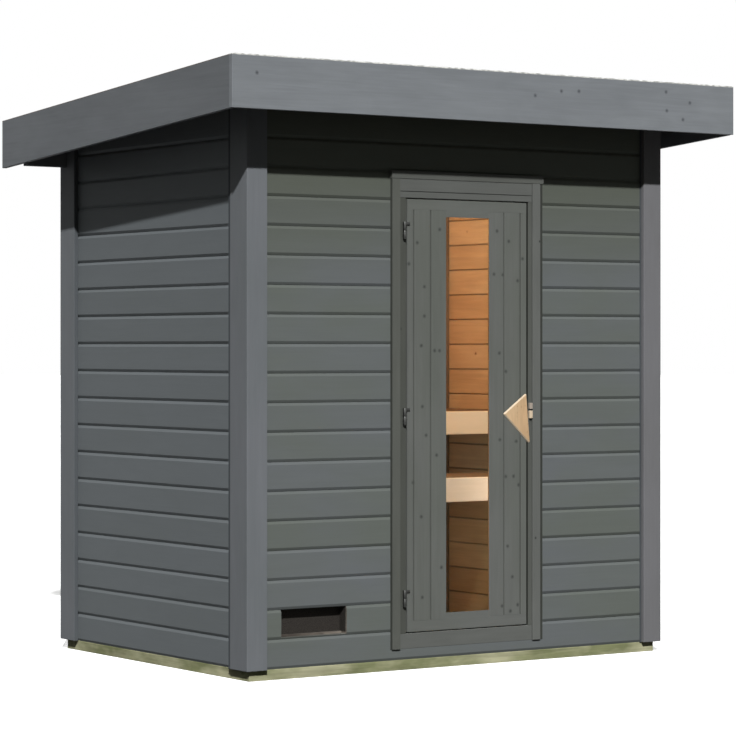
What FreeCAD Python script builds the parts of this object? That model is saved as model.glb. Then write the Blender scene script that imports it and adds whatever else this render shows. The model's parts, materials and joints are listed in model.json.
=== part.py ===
import FreeCAD, Part
import math
import os
import Sketcher

# Outdoor sauna cabin: interlocking planks between corner posts, a plain roof that falls to the back,
# a hinged door with a tall window, and two benches inside. Sizes are in millimetres.
# The front faces -Y. The origin is on the ground under the middle of the roof.

SIZES = {
    # walls of planks, between the outer faces of the planks
    "wall_length": 2010,
    "wall_depth": 1480,
    "wall_thickness": 38,
    "wall_height": 2280,
    "board_cover": 114,
    "board_chamfer": 8,
    "inner_chamfer": 4,
    # timber frame on the ground and the floor on it
    "base_height": 41,
    "base_width": 70,
    "base_inset": 4,
    "joist_width": 58,
    "joist_count": 3,
    "floor_thickness": 19,
    "floor_board": 88,
    "board_edge": 2.5,
    # corner posts: a core as thick as the walls, and lips that lap over the planks
    "lip_thickness": 19,
    "front_lap": 35,
    "side_lap": 68,
    # roof
    "roof_pitch": 3.9,
    "front_overhang": 247,
    "back_overhang": 158,
    "side_overhang": 224,
    "front_beam_depth": 114,
    "back_beam_depth": 174,
    "purlin_width": 45,
    "purlin_depth": 100,
    "deck_thickness": 19,
    "deck_board": 93,
    "felt_thickness": 3,
    "fascia_height": 203,
    "fascia_thickness": 20,
    "fascia_upstand": 19,
    "back_fascia_height": 120,
    # doorway through the front wall, from the left end of the planks
    "doorway_left": 674,
    "doorway_width": 712,
    "threshold_height": 43,
    "courses_over_door": 2,
    # door frame and the trim round it
    "frame_depth": 60,
    "hinge_jamb_width": 60,
    "latch_jamb_width": 44,
    "frame_head_height": 103,
    "frame_sill_height": 60,
    "frame_groove": 7,
    "frame_bead": 23,
    "sill_bead": 18,
    "stop_width": 15,
    "stop_thickness": 15,
    "casing_width": 39,
    "casing_thickness": 18,
    "casing_lap": 12,
    "head_casing_height": 32,
    "head_casing_lap": 29,
    "head_casing_end": 8,
    "head_casing_thickness": 21,
    # door leaf
    "hinge_gap": 6,
    "latch_gap": 10,
    "top_gap": 5,
    "bottom_gap": 6,
    "leaf_thickness": 40,
    "rail_height": 42,
    "side_board_width": 190,
    "edge_strip": 31,
    "inner_strip": 76,
    "leaf_groove": 4,
    "glass_infill": 26,
    "glass_thickness": 8,
    "glass_bite": 10,
    "glass_clearance": 0.3,
    "glass_setback": 16,
    # barrel hinges
    "hinge_radius": 7.5,
    "hinge_length": 88,
    "hinge_split": 1,
    "pin_radius": 4,
    "pin_clearance": 0.3,
    "pin_length": 30,
    "hinge_standoff": 8,
    "hinge_offset": 18,
    "hinge_from_bottom": 124,
    "hinge_from_top": 136,
    "hinge_middle_drop": 8,
    "hinge_arm_height": 14,
    "hinge_arm_thickness": 5,
    "hinge_arm_length": 28,
    # triangular door handle outside and the grip inside
    "handle_thickness": 20,
    "handle_standoff": 16,
    "handle_edge": 5.5,
    "handle_reach": 134.5,
    "handle_top_shift": 19,
    "handle_bottom": 886,
    "handle_tip_rise": 126,
    "handle_height": 209,
    "handle_corner": 4.5,
    "handle_bevel": 4,
    "spacer_radius": 9,
    "spacer_side": 42,
    "spacer_rise": 68,
    "spacer_pitch": 78,
    "grip_width": 30,
    "grip_height": 200,
    "grip_thickness": 24,
    "grip_standoff": 22,
    "grip_side": 60,
    "grip_rise": 900,
    "keep_width": 15,
    "keep_thickness": 12,
    "keep_low": 991,
    "keep_low_height": 32,
    "keep_high": 1029,
    "keep_high_height": 25,
    # air vent in the second course
    "vent_left": 148,
    "vent_width": 303,
    "vent_sill": 13,
    "vent_rim_width": 22,
    "vent_rim_thickness": 12,
    "vent_screen_thickness": 2,
    # benches
    "upper_bench_top": 1000,
    "upper_bench_depth": 600,
    "lower_bench_top": 731,
    "lower_bench_depth": 400,
    "bench_front_height": 101,
    "bench_front_thickness": 26,
    "slat_width": 86,
    "slat_gap": 10,
    "slat_thickness": 26,
    "upper_slats": 6,
    "lower_slats": 4,
    "bearer_width": 45,
    "bearer_height": 70,
    "rail_width": 26,
}

# Places worked out from the sizes above
PLACES = {
    "pitch": "tan(Size.roof_pitch)",
    "left_x": "-Size.wall_length / 2",
    "right_x": "Size.wall_length / 2",
    "roof_length": "Size.wall_depth + Size.front_overhang + Size.back_overhang",
    "roof_width": "Size.wall_length + 2 * Size.side_overhang",
    "front_y": "Size.front_overhang - roof_length / 2",
    "back_y": "front_y + Size.wall_depth",
    "room_left": "left_x + Size.wall_thickness",
    "room_right": "right_x - Size.wall_thickness",
    "room_front": "front_y + Size.wall_thickness",
    "room_back": "back_y - Size.wall_thickness",
    "room_width": "Size.wall_length - 2 * Size.wall_thickness",
    "room_depth": "Size.wall_depth - 2 * Size.wall_thickness",
    "floor_top": "Size.base_height + Size.floor_thickness",
    "side_drop": "room_depth * pitch",
    "room_front_height": "Size.wall_height - Size.wall_thickness * pitch",
    "room_back_height": "room_front_height - side_drop",
    "back_height": "Size.wall_height - Size.wall_depth * pitch",
    "lip_top": "Size.wall_height + Size.lip_thickness * pitch",
    "front_wall_height": "Size.wall_height - Size.front_beam_depth",
    "back_wall_height": "back_height - Size.back_beam_depth",
    "beam_left": "left_x - Size.side_overhang + Size.fascia_thickness",
    "beam_length": "roof_width - 2 * Size.fascia_thickness",
    "beam_drop": "Size.wall_thickness * pitch",
    "purlin_y": "room_depth / 2",
    "purlin_top": "room_front_height - (purlin_y - Size.purlin_width / 2) * pitch",
    "roof_front": "front_y - Size.front_overhang",
    "fascia_top": "Size.base_height + Size.wall_height + Size.front_overhang * pitch"
                  " + Size.deck_thickness + Size.fascia_upstand",
    "fascia_low": "fascia_top - Size.fascia_height",
    "side_fascia_length": "roof_length - Size.fascia_thickness",
    "side_fascia_top": "fascia_top - Size.fascia_thickness * pitch",
    "side_fascia_fall": "side_fascia_length * pitch",
    "deck_length": "roof_length - 2 * Size.fascia_thickness",
    "deck_low": "Size.base_height + Size.wall_height + (Size.front_overhang - Size.fascia_thickness) * pitch",
    "deck_fall": "deck_length * pitch",
    "deck_slope_length": "deck_length / cos(Size.roof_pitch)",
    "deck_lean": "Size.deck_thickness * sin(Size.roof_pitch)",
    "deck_depth": "Size.deck_thickness * cos(Size.roof_pitch)",
    "deck_count": "round(beam_length / Size.deck_board)",
    "floor_count": "round(room_depth / Size.floor_board)",
    "felt_fall": "(deck_length + Size.fascia_thickness) * pitch",
    "back_fascia_top": "deck_low - deck_fall + Size.deck_thickness",
    "back_fascia_fall": "Size.fascia_thickness * pitch",
    "doorway_low": "Size.base_height + Size.threshold_height",
    "head_courses": "floor(front_wall_height / Size.board_cover) - Size.courses_over_door",
    "doorway_high": "Size.base_height + head_courses * Size.board_cover",
    "doorway_right": "Size.doorway_left + Size.doorway_width",
    "frame_x": "left_x + Size.doorway_left",
    "jamb_low": "doorway_low + Size.frame_sill_height",
    "jamb_high": "doorway_high - Size.frame_head_height",
    "latch_jamb_x": "frame_x + Size.doorway_width - Size.latch_jamb_width",
    "stop_front": "Size.frame_depth - Size.stop_thickness",
    "leaf_x": "frame_x + Size.hinge_jamb_width + Size.hinge_gap",
    "leaf_width": "Size.doorway_width - Size.hinge_jamb_width - Size.latch_jamb_width"
                  " - Size.hinge_gap - Size.latch_gap",
    "leaf_low": "jamb_low + Size.bottom_gap",
    "leaf_high": "jamb_high - Size.top_gap",
    "board_low": "leaf_low + Size.rail_height",
    "board_height": "leaf_high - leaf_low - 2 * Size.rail_height",
    "window_width": "leaf_width - 2 * Size.side_board_width",
    "window_x": "leaf_x + Size.side_board_width",
    "glass_room": "Size.glass_bite - Size.glass_clearance",
    "casing_x": "frame_x - Size.casing_lap",
    "right_casing_x": "frame_x + Size.doorway_width + Size.casing_lap - Size.casing_width",
    "head_casing_low": "doorway_high - Size.head_casing_lap",
    "casing_height": "head_casing_low - doorway_low",
    "head_casing_length": "Size.doorway_width + 2 * Size.casing_lap + 2 * Size.head_casing_end",
    "hinge_x": "leaf_x - Size.hinge_offset",
    "hinge_y": "front_y - Size.hinge_standoff",
    "half_hinge": "(Size.hinge_length - Size.hinge_split) / 2",
    "hinge_low": "leaf_low + Size.hinge_from_bottom",
    "hinge_high": "leaf_high - Size.hinge_from_top",
    "hinge_middle": "(hinge_low + hinge_high) / 2 - Size.hinge_middle_drop",
    "handle_right": "leaf_x + leaf_width - Size.handle_edge",
    "handle_back": "front_y - Size.handle_standoff",
    "vent_low": "Size.base_height + Size.board_cover + Size.vent_sill",
    "vent_height": "Size.board_cover - Size.vent_sill",
    "upper_front": "room_back - Size.upper_bench_depth",
    "lower_front": "upper_front - Size.lower_bench_depth",
    "slat_pitch": "Size.slat_width + Size.slat_gap",
}

doc = FreeCAD.newDocument("sauna_cabin")
nodes = {}


def fill_sheet(name, rows, mark=""):
    """Make a spreadsheet whose cells carry the names in rows."""
    sheet = doc.addObject("Spreadsheet::Sheet", name)
    for row, (alias, content) in enumerate(rows.items(), start=1):
        sheet.set(f"A{row}", alias)
        sheet.set(f"B{row}", mark + str(content))
        sheet.setAlias(f"B{row}", alias)
    doc.recompute()
    return sheet


size_sheet = fill_sheet("Size", SIZES)
place_sheet = fill_sheet("Place", PLACES, "=")


def keep(name, piece):
    """Name a finished piece, so that it is written out as a node of the cabin."""
    piece.Label = name
    nodes[name] = piece
    return piece


def put(piece, place, turn=0):
    """Place a piece by its three position expressions, turned about the vertical by a number of degrees."""
    piece.Placement = FreeCAD.Placement(
        FreeCAD.Vector(0, 0, 0), FreeCAD.Rotation(FreeCAD.Vector(0, 0, 1), turn)
    )
    for axis, text in zip("xyz", place):
        piece.setExpression(f"Placement.Base.{axis}", text)
    return piece


def block(name, size, place):
    """Make a plain sawn timber from three size expressions, with its low corner at place."""
    box = doc.addObject("Part::Box", name)
    for side, text in zip(("Length", "Width", "Height"), size):
        box.setExpression(side, text)
    return put(box, place)


def together(name, pieces):
    """Keep like pieces that don't touch each other as one node."""
    group = doc.addObject("Part::Compound", name)
    group.Links = pieces
    return keep(name, group)


def add_loop(sketch, points):
    """Add a closed outline whose corners are held at pairs of expressions."""
    first = sketch.GeometryCount
    count = len(points)
    rough = [
        FreeCAD.Vector(math.cos(2 * math.pi * k / count), math.sin(2 * math.pi * k / count), 0)
        for k in range(count)
    ]
    for k in range(count):
        sketch.addGeometry(Part.LineSegment(rough[k], rough[(k + 1) % count]), False)
    for k in range(count):
        sketch.addConstraint(
            Sketcher.Constraint("Coincident", first + k, 2, first + (k + 1) % count, 1)
        )
    for k, (across, up) in enumerate(points):
        for kind, start, text in (("DistanceX", rough[k].x, across), ("DistanceY", rough[k].y, up)):
            index = sketch.addConstraint(Sketcher.Constraint(kind, first + k, 1, start))
            sketch.setExpression(f"Constraints[{index}]", text)


def outline(body, name, role, *loops):
    """Draw closed outlines on one of the body's own origin planes."""
    sketch = body.newObject("Sketcher::SketchObject", name)
    plane = [feature for feature in body.Origin.OriginFeatures if feature.Role == role][0]
    sketch.AttachmentSupport = [(plane, "")]
    sketch.MapMode = "FlatFace"
    for points in loops:
        add_loop(sketch, points)
    return sketch


def padded(name, role, points, depth):
    """Make a body from one outline, padded towards the row's positive axis."""
    body = doc.addObject("PartDesign::Body", name)
    sketch = outline(body, f"{name}_outline", role, points)
    pad = body.newObject("PartDesign::Pad", f"{name}_pad")
    pad.Profile = sketch
    pad.Reversed = role == "XZ_Plane"
    pad.setExpression("Length", depth)
    return body


def cut_through(body, name, role, *loops):
    """Cut outlines from one origin plane through the whole body, towards the positive axis."""
    sketch = outline(body, f"{name}_outline", role, *loops)
    pocket = body.newObject("PartDesign::Pocket", name)
    pocket.Profile = sketch
    pocket.Type = "ThroughAll"
    pocket.Reversed = role != "XZ_Plane"
    return pocket


def repeat(body, name, feature, axis, pitch, count):
    """Repeat a cut at a fixed pitch along its sketch's H_Axis or V_Axis."""
    pattern = body.newObject("PartDesign::LinearPattern", name)
    pattern.Originals = [feature]
    pattern.Direction = (feature.Profile[0], [axis])
    pattern.Mode = "Spacing"
    pattern.setExpression("Offset", pitch)
    pattern.setExpression("Occurrences", count)
    body.Tip = pattern
    return pattern


def board_joints(body, name, first, count):
    """Cut the sloped edges of the planks, outside and inside, at each joint from the first one up."""
    outer = [
        ("0", f"{first} - Size.board_chamfer"),
        ("Size.board_chamfer", first),
        ("0", f"{first} + Size.board_chamfer"),
    ]
    inner = [
        ("Size.wall_thickness", f"{first} - Size.inner_chamfer"),
        ("Size.wall_thickness", f"{first} + Size.inner_chamfer"),
        ("Size.wall_thickness - Size.inner_chamfer", first),
    ]
    joint = cut_through(body, f"{name}_joint", "YZ_Plane", outer, inner)
    return repeat(body, f"{name}_joints", joint, "V_Axis", "Size.board_cover", count)


def courses(height):
    """Say how many whole plank joints lie below a height."""
    return f"ceil(({height} - Size.board_chamfer) / Size.board_cover) - 1"


def base_frame():
    """Make the timbers that the cabin stands on."""
    length = "Size.wall_length - 2 * Size.base_inset"
    gap = "Size.wall_depth - 2 * Size.base_inset - 2 * Size.base_width"
    left = "Place.left_x + Size.base_inset"
    low = "Place.front_y + Size.base_inset"
    high = "Place.back_y - Size.base_inset - Size.base_width"
    right = "Place.right_x - Size.base_inset - Size.base_width"
    inside = f"{low} + Size.base_width"
    long_size = (length, "Size.base_width", "Size.base_height")
    short_size = ("Size.base_width", gap, "Size.base_height")
    together("base_front_and_back", [
        block("base_front", long_size, (left, low, "0")),
        block("base_back", long_size, (left, high, "0")),
    ])
    together("base_sides", [
        block("base_left", short_size, (left, inside, "0")),
        block("base_right", short_size, (right, inside, "0")),
    ])
    joists = []
    for index in range(int(size_sheet.get("joist_count"))):
        share = f"({index} + 1) / (Size.joist_count + 1)"
        middle = f"Place.left_x + Size.wall_length * {share} - Size.joist_width / 2"
        joist = block(f"joist_{index}", ("Size.joist_width", gap, "Size.base_height"), (middle, inside, "0"))
        joists.append(joist)
    together("floor_joists", joists)
    top = "Size.floor_thickness"
    deep = "Place.room_depth"
    floor = padded("floor", "YZ_Plane", [("0", "0"), (deep, "0"), (deep, top), ("0", top)], "Place.room_width")
    pitch = f"{deep} / Place.floor_count"
    groove = cut_through(floor, "floor_groove", "YZ_Plane", [
        (f"{pitch} - Size.board_edge", top), (pitch, f"{top} - Size.board_edge"),
        (f"{pitch} + Size.board_edge", top),
    ])
    repeat(floor, "floor_grooves", groove, "H_Axis", pitch, "Place.floor_count - 1")
    keep("floor", put(floor, ("Place.room_left", "Place.room_front", "Size.base_height")))


def corner_post(name, across, along, place):
    """Make one post; across and along are the signs that point from its corner into the walls."""
    core = "Size.lip_thickness + Size.wall_thickness"
    front = f"{core} + Size.front_lap"
    side = f"{core} + Size.side_lap"
    lip = "Size.lip_thickness"
    shape = [("0", "0"), (front, "0"), (front, lip), (core, lip), (core, core), (lip, core), (lip, side), ("0", side)]
    points = [(f"{across} * ({u})", f"{along} * ({v})") for u, v in shape]
    if across * along < 0:
        points.reverse()
    front_side = along > 0
    outer_height = "Place.lip_top" if front_side else "Place.back_height - Size.lip_thickness * Place.pitch"
    tallest = "Place.lip_top" if front_side else f"{outer_height} + ({side}) * Place.pitch"
    body = padded(name, "XY_Plane", points, tallest)
    seat = "Place.front_wall_height" if front_side else "Place.back_wall_height"
    beam_near = f"{along} * {lip}"
    beam_far = f"{along} * ({core})"
    spare = f"{tallest} + Size.wall_thickness"
    slot = [(beam_near, seat), (beam_far, seat), (beam_far, spare), (beam_near, spare)]
    reach = f"{along} * ({side})"
    fall = f"({side}) * Place.pitch"
    inner_top = f"{outer_height} - {fall}" if front_side else f"{outer_height} + {fall}"
    past = f"{along} * ({side} + Size.lip_thickness)"
    wedge = [("0", outer_height), (reach, inner_top), (past, inner_top), (past, spare), ("0", spare)]
    for label, loop in (("beam_slot", slot), ("roof_cut", wedge)):
        cut = cut_through(body, f"{name}_{label}", "YZ_Plane", loop)
        cut.Reversed = across > 0
    put(body, place)
    return keep(name, body)


def corner_posts():
    """Stand a post at each corner of the walls."""
    for side, across in (("left", 1), ("right", -1)):
        x = f"Place.{side}_x - {across} * Size.lip_thickness"
        for end, along in (("front", 1), ("back", -1)):
            y = f"Place.{end}_y - {along} * Size.lip_thickness"
            corner_post(f"post_{end}_{side}", across, along, (x, y, "Size.base_height"))


def front_walls():
    """Lay the planks of the front wall below, beside and over the doorway."""
    start = "Size.wall_thickness"
    end = "Size.wall_length - Size.wall_thickness"
    door_left = "Size.doorway_left"
    door_right = "Place.doorway_right"
    course = "Size.board_cover"
    place = ("Place.left_x", "Place.front_y", "Size.base_height")

    bottom = padded("front_wall_bottom", "XZ_Plane", [
        (start, "0"), (end, "0"), (end, course), (door_right, course), (door_right, "Size.threshold_height"),
        (door_left, "Size.threshold_height"), (door_left, course), (start, course),
    ], "Size.wall_thickness")
    board_joints(bottom, "bottom", course, "1")
    keep("front_wall_bottom", put(bottom, place))

    vent_right = "Size.vent_left + Size.vent_width"
    sill = f"{course} + Size.vent_sill"
    second = f"2 * {course}"
    vent = padded("vent_board", "XZ_Plane", [
        (start, course), (door_left, course), (door_left, second), (vent_right, second), (vent_right, sill),
        ("Size.vent_left", sill), ("Size.vent_left", second), (start, second),
    ], "Size.wall_thickness")
    board_joints(vent, "vent", course, "2")
    keep("vent_board", put(vent, place))

    head = f"Place.head_courses * {course}"
    left = padded("front_wall_left", "XZ_Plane", [
        (start, second), (door_left, second), (door_left, head), (start, head),
    ], "Size.wall_thickness")
    board_joints(left, "left_boards", second, "Place.head_courses - 1")
    keep("front_wall_left", put(left, place))

    right = padded("front_wall_right", "XZ_Plane", [
        (door_right, course), (end, course), (end, head), (door_right, head),
    ], "Size.wall_thickness")
    board_joints(right, "right_boards", course, "Place.head_courses")
    keep("front_wall_right", put(right, place))

    top = "Place.front_wall_height"
    over = padded("front_wall_head", "XZ_Plane", [
        (start, head), (end, head), (end, top), (start, top),
    ], "Size.wall_thickness")
    over_count = f"{courses(top)} - Place.head_courses + 1"
    board_joints(over, "over_boards", head, over_count)
    keep("front_wall_head", put(over, place))


def other_walls():
    """Lay the side walls, which follow the roof and carry the middle purlin, and the back wall."""
    length = "Place.room_depth"
    near = "Place.purlin_y - Size.purlin_width / 2"
    far = "Place.purlin_y + Size.purlin_width / 2"
    seat = "Place.purlin_top - Size.purlin_depth"
    near_top = "Place.purlin_top"
    far_top = "Place.purlin_top - Size.purlin_width * Place.pitch"
    front = "Place.room_front_height"
    back = "Place.room_back_height"
    right = padded("right_wall", "XZ_Plane", [
        ("0", "0"), (length, "0"), (length, back), (far, far_top), (far, seat), (near, seat), (near, near_top),
        ("0", front),
    ], "Size.wall_thickness")
    board_joints(right, "right_wall", "Size.board_cover", courses(back))
    keep("right_wall", put(right, ("Place.right_x", "Place.room_front", "Size.base_height"), 90))

    left = padded("left_wall", "XZ_Plane", [
        ("0", "0"), (length, "0"), (length, front), (f"{length} - ({near})", near_top),
        (f"{length} - ({near})", seat), (f"{length} - ({far})", seat), (f"{length} - ({far})", far_top),
        ("0", back),
    ], "Size.wall_thickness")
    board_joints(left, "left_wall", "Size.board_cover", courses(back))
    keep("left_wall", put(left, ("Place.left_x", "Place.room_back", "Size.base_height"), -90))

    top = "Place.back_wall_height"
    rear = padded("back_wall", "XZ_Plane", [
        ("0", "0"), ("Place.room_width", "0"), ("Place.room_width", top), ("0", top),
    ], "Size.wall_thickness")
    board_joints(rear, "back_wall", "Size.board_cover", courses(top))
    keep("back_wall", put(rear, ("Place.room_right", "Place.back_y", "Size.base_height"), 180))


def roof_beams():
    """Run the three beams that carry the roof from side fascia to side fascia."""
    beams = []
    rise = "Size.base_height"
    for name, y, top, width, depth in (
        ("front_beam", "Place.front_y", "Size.wall_height", "Size.wall_thickness", "Size.front_beam_depth"),
        ("middle_purlin", "Place.room_front + Place.purlin_y - Size.purlin_width / 2", "Place.purlin_top",
         "Size.purlin_width", "Size.purlin_depth"),
        ("back_beam", "Place.room_back", "Place.back_height + Place.beam_drop", "Size.wall_thickness",
         "Size.back_beam_depth + Place.beam_drop"),
    ):
        section = [("0", f"-({depth})"), (width, f"-({depth})"), (width, f"-({width}) * Place.pitch"), ("0", "0")]
        beam = padded(name, "YZ_Plane", section, "Place.beam_length")
        beams.append(put(beam, ("Place.beam_left", y, f"{rise} + {top}")))
    together("roof_beams", beams)


def sloped_board(name, length, fall, height, width, place):
    """Make a board that falls towards the back; place is its low front corner."""
    section = [("0", "0"), (length, f"-({fall})"), (length, f"{height} - ({fall})"), ("0", height)]
    board = padded(name, "YZ_Plane", section, width)
    return put(board, place)


def roof():
    """Lay the deck and its felt, and close the edges with fascia boards."""
    roof_left = "Place.left_x - Size.side_overhang"
    roof_right = "Place.right_x + Size.side_overhang"
    deck_front = "Place.roof_front + Size.fascia_thickness"
    run = "Place.deck_slope_length"
    lean = "Place.deck_lean"
    deck = padded("roof_deck", "YZ_Plane", [
        ("0", "0"), (run, "0"), (f"{run} - {lean}", "Place.deck_depth"), (f"-{lean}", "Place.deck_depth"),
    ], "Place.beam_length")
    pitch = "Place.beam_length / Place.deck_count"
    groove = cut_through(deck, "deck_groove", "XZ_Plane", [
        (f"{pitch} - Size.board_edge", "0"), (f"{pitch} + Size.board_edge", "0"), (pitch, "Size.board_edge"),
    ])
    groove.Midplane = True
    repeat(deck, "deck_grooves", groove, "H_Axis", pitch, "Place.deck_count - 1")
    deck.Placement = FreeCAD.Placement(
        FreeCAD.Vector(0, 0, 0), FreeCAD.Rotation(FreeCAD.Vector(-1, 0, 0), size_sheet.get("roof_pitch"))
    )
    for axis, text in zip("xyz", ("Place.beam_left", deck_front, "Place.deck_low")):
        deck.setExpression(f"Placement.Base.{axis}", text)
    deck.setExpression("Placement.Rotation.Angle", "Size.roof_pitch")
    keep("roof_deck", deck)
    keep("roof_felt", sloped_board(
        "roof_felt", "Place.deck_length + Size.fascia_thickness", "Place.felt_fall", "Size.felt_thickness",
        "Place.beam_length", ("Place.beam_left", deck_front, "Place.deck_low + Size.deck_thickness"),
    ))
    keep("front_fascia", block(
        "front_fascia", ("Place.roof_width", "Size.fascia_thickness", "Size.fascia_height"),
        (roof_left, "Place.roof_front", "Place.fascia_low"),
    ))
    for side, x in (("left", roof_left), ("right", f"{roof_right} - Size.fascia_thickness")):
        keep(f"{side}_fascia", sloped_board(
            f"{side}_fascia", "Place.side_fascia_length", "Place.side_fascia_fall", "Size.fascia_height",
            "Size.fascia_thickness", (x, deck_front, "Place.side_fascia_top - Size.fascia_height"),
        ))
    keep("back_fascia", sloped_board(
        "back_fascia", "Size.fascia_thickness", "Place.back_fascia_fall", "Size.back_fascia_height",
        "Place.beam_length",
        ("Place.beam_left", "Place.back_y + Size.back_overhang - Size.fascia_thickness",
         "Place.back_fascia_top - Size.back_fascia_height"),
    ))


def end_laps(jamb, name, height):
    """Cut the ends of a jamb back behind the rebate, where the stops of the head and the sill run across it."""
    stop = "Place.stop_front"
    depth = "Size.frame_depth"
    low = "Size.bottom_gap + Size.stop_width"
    high = f"{height} - Size.top_gap - Size.stop_width"
    laps = cut_through(
        jamb, f"{name}_laps", "YZ_Plane",
        [(stop, "0"), (depth, "0"), (depth, low), (stop, low)],
        [(stop, high), (depth, high), (depth, height), (stop, height)],
    )
    laps.Midplane = True


def door_frame():
    """Set the rebated frame into the doorway and trim it outside."""
    depth = "Size.frame_depth"
    stop = "Place.stop_front"
    height = "Place.jamb_high - Place.jamb_low"
    hinge_face = "Size.hinge_jamb_width"
    hinge_stop = "Size.hinge_jamb_width + Size.hinge_gap + Size.stop_width"
    hinge_jamb = padded("door_jamb_hinge_side", "XY_Plane", [
        ("0", "0"), (hinge_face, "0"), (hinge_face, stop), (hinge_stop, stop), (hinge_stop, depth), ("0", depth),
    ], height)
    end_laps(hinge_jamb, "hinge_jamb", height)
    keep("door_jamb_hinge_side", put(hinge_jamb, ("Place.frame_x", "Place.front_y", "Place.jamb_low")))
    latch_face = "Size.latch_jamb_width"
    latch_stop = "-(Size.latch_gap + Size.stop_width)"
    latch_jamb = padded("door_jamb_latch_side", "XY_Plane", [
        ("0", "0"), (latch_face, "0"), (latch_face, depth), (latch_stop, depth), (latch_stop, stop), ("0", stop),
    ], height)
    end_laps(latch_jamb, "latch_jamb", height)
    keep("door_jamb_latch_side", put(latch_jamb, ("Place.latch_jamb_x", "Place.front_y", "Place.jamb_low")))

    groove = "Size.frame_groove"
    bead = "Size.frame_bead"
    head_top = "Size.frame_head_height"
    head = padded("door_frame_head", "YZ_Plane", [
        ("0", "0"), (stop, "0"), (stop, "-(Size.top_gap + Size.stop_width)"),
        (depth, "-(Size.top_gap + Size.stop_width)"), (depth, head_top), ("0", head_top),
        ("0", f"{bead} + {groove}"), (groove, bead), ("0", bead),
    ], "Size.doorway_width")
    keep("door_frame_head", put(head, ("Place.frame_x", "Place.front_y", "Place.jamb_high")))
    sill_top = "Size.frame_sill_height"
    sill = padded("door_frame_sill", "YZ_Plane", [
        ("0", "0"), (depth, "0"), (depth, f"{sill_top} + Size.bottom_gap + Size.stop_width"),
        (stop, f"{sill_top} + Size.bottom_gap + Size.stop_width"), (stop, sill_top), ("0", sill_top),
        ("0", f"{sill_top} - Size.sill_bead"), (groove, f"{sill_top} - Size.sill_bead"),
        ("0", f"{sill_top} - Size.sill_bead - {groove}"),
    ], "Size.doorway_width")
    keep("door_frame_sill", put(sill, ("Place.frame_x", "Place.front_y", "Place.doorway_low")))

    trim = ("Size.casing_width", "Size.casing_thickness", "Place.casing_height")
    trim_y = "Place.front_y - Size.casing_thickness"
    together("door_casing_sides", [
        block("casing_left", trim, ("Place.casing_x", trim_y, "Place.doorway_low")),
        block("casing_right", trim, ("Place.right_casing_x", trim_y, "Place.doorway_low")),
    ])
    keep("door_casing_head", block(
        "door_casing_head",
        ("Place.head_casing_length", "Size.head_casing_thickness", "Size.head_casing_height"),
        ("Place.casing_x - Size.head_casing_end", "Place.front_y - Size.head_casing_thickness",
         "Place.head_casing_low"),
    ))


def side_board(name, sign, place):
    """Make the boards beside the window; sign is 1 where the window is towards +X."""
    width = "Size.side_board_width"
    thick = "Size.leaf_thickness"
    cut = "Size.leaf_groove"
    strip = "Size.edge_strip"
    inner = f"{width} - Size.inner_strip"
    near = "Size.glass_setback - Size.glass_clearance"
    far = "Size.glass_setback + Size.glass_thickness + Size.glass_clearance"
    bottom = f"{width} - Size.glass_bite"
    shape = [
        ("0", "0"), (f"{strip} - {cut}", "0"), (strip, cut), (f"{strip} + {cut}", "0"),
        (f"{inner} - {cut}", "0"), (inner, cut), (f"{inner} + {cut}", "0"),
        (width, "0"), (width, near), (bottom, near), (bottom, far), (width, far), (width, thick), ("0", thick),
    ]
    points = [(f"{sign} * ({u})", v) for u, v in shape]
    if sign < 0:
        points.reverse()
    return put(padded(name, "XY_Plane", points, "Place.board_height"), place)


def door_leaf():
    """Join the boards, rails and glass of the leaf."""
    together("door_boards", [
        side_board("door_board_left", 1, ("Place.leaf_x", "Place.front_y", "Place.board_low")),
        side_board("door_board_right", -1, ("Place.leaf_x + Place.leaf_width", "Place.front_y", "Place.board_low")),
    ])
    width = "Place.leaf_width"
    left = "Size.side_board_width"
    right = "Place.leaf_width - Size.side_board_width"
    rail = "Size.rail_height"
    full = f"{rail} + Size.glass_infill"
    thick = "Size.leaf_thickness"
    lower = padded("door_rail_low", "XZ_Plane", [
        ("0", "0"), (width, "0"), (width, rail), (right, rail), (right, full), (left, full), (left, rail), ("0", rail),
    ], thick)
    upper = padded("door_rail_high", "XZ_Plane", [
        ("0", "0"), ("0", f"-{rail}"), (left, f"-{rail}"), (left, f"-({full})"), (right, f"-({full})"),
        (right, f"-{rail}"), (width, f"-{rail}"), (width, "0"),
    ], thick)
    near = "Size.glass_setback - Size.glass_clearance"
    far = "Size.glass_setback + Size.glass_thickness + Size.glass_clearance"
    slot_low = f"{full} - Size.glass_bite"
    slots = (
        (lower, "low_slot", [(near, slot_low), (far, slot_low), (far, full), (near, full)]),
        (upper, "high_slot", [(near, f"-({slot_low})"), (near, f"-({full})"), (far, f"-({full})"),
                              (far, f"-({slot_low})")]),
    )
    for body, name, loop in slots:
        cut_through(body, name, "YZ_Plane", loop)
    put(lower, ("Place.leaf_x", "Place.front_y", "Place.leaf_low"))
    put(upper, ("Place.leaf_x", "Place.front_y", "Place.leaf_high"))
    together("door_rails", [lower, upper])

    glass_low = f"Place.leaf_low + {full} - Place.glass_room"
    glass_height = f"Place.leaf_high - Place.leaf_low - 2 * ({full}) + 2 * Place.glass_room"
    keep("door_glass", block(
        "door_glass",
        ("Place.window_width + 2 * Place.glass_room", "Size.glass_thickness", glass_height),
        ("Place.window_x - Place.glass_room", "Place.front_y + Size.glass_setback", glass_low),
    ))


def barrel(name, radius, height, place):
    """Make an upright round bar."""
    bar = doc.addObject("Part::Cylinder", name)
    bar.setExpression("Radius", radius)
    bar.setExpression("Height", height)
    return put(bar, place)


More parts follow.
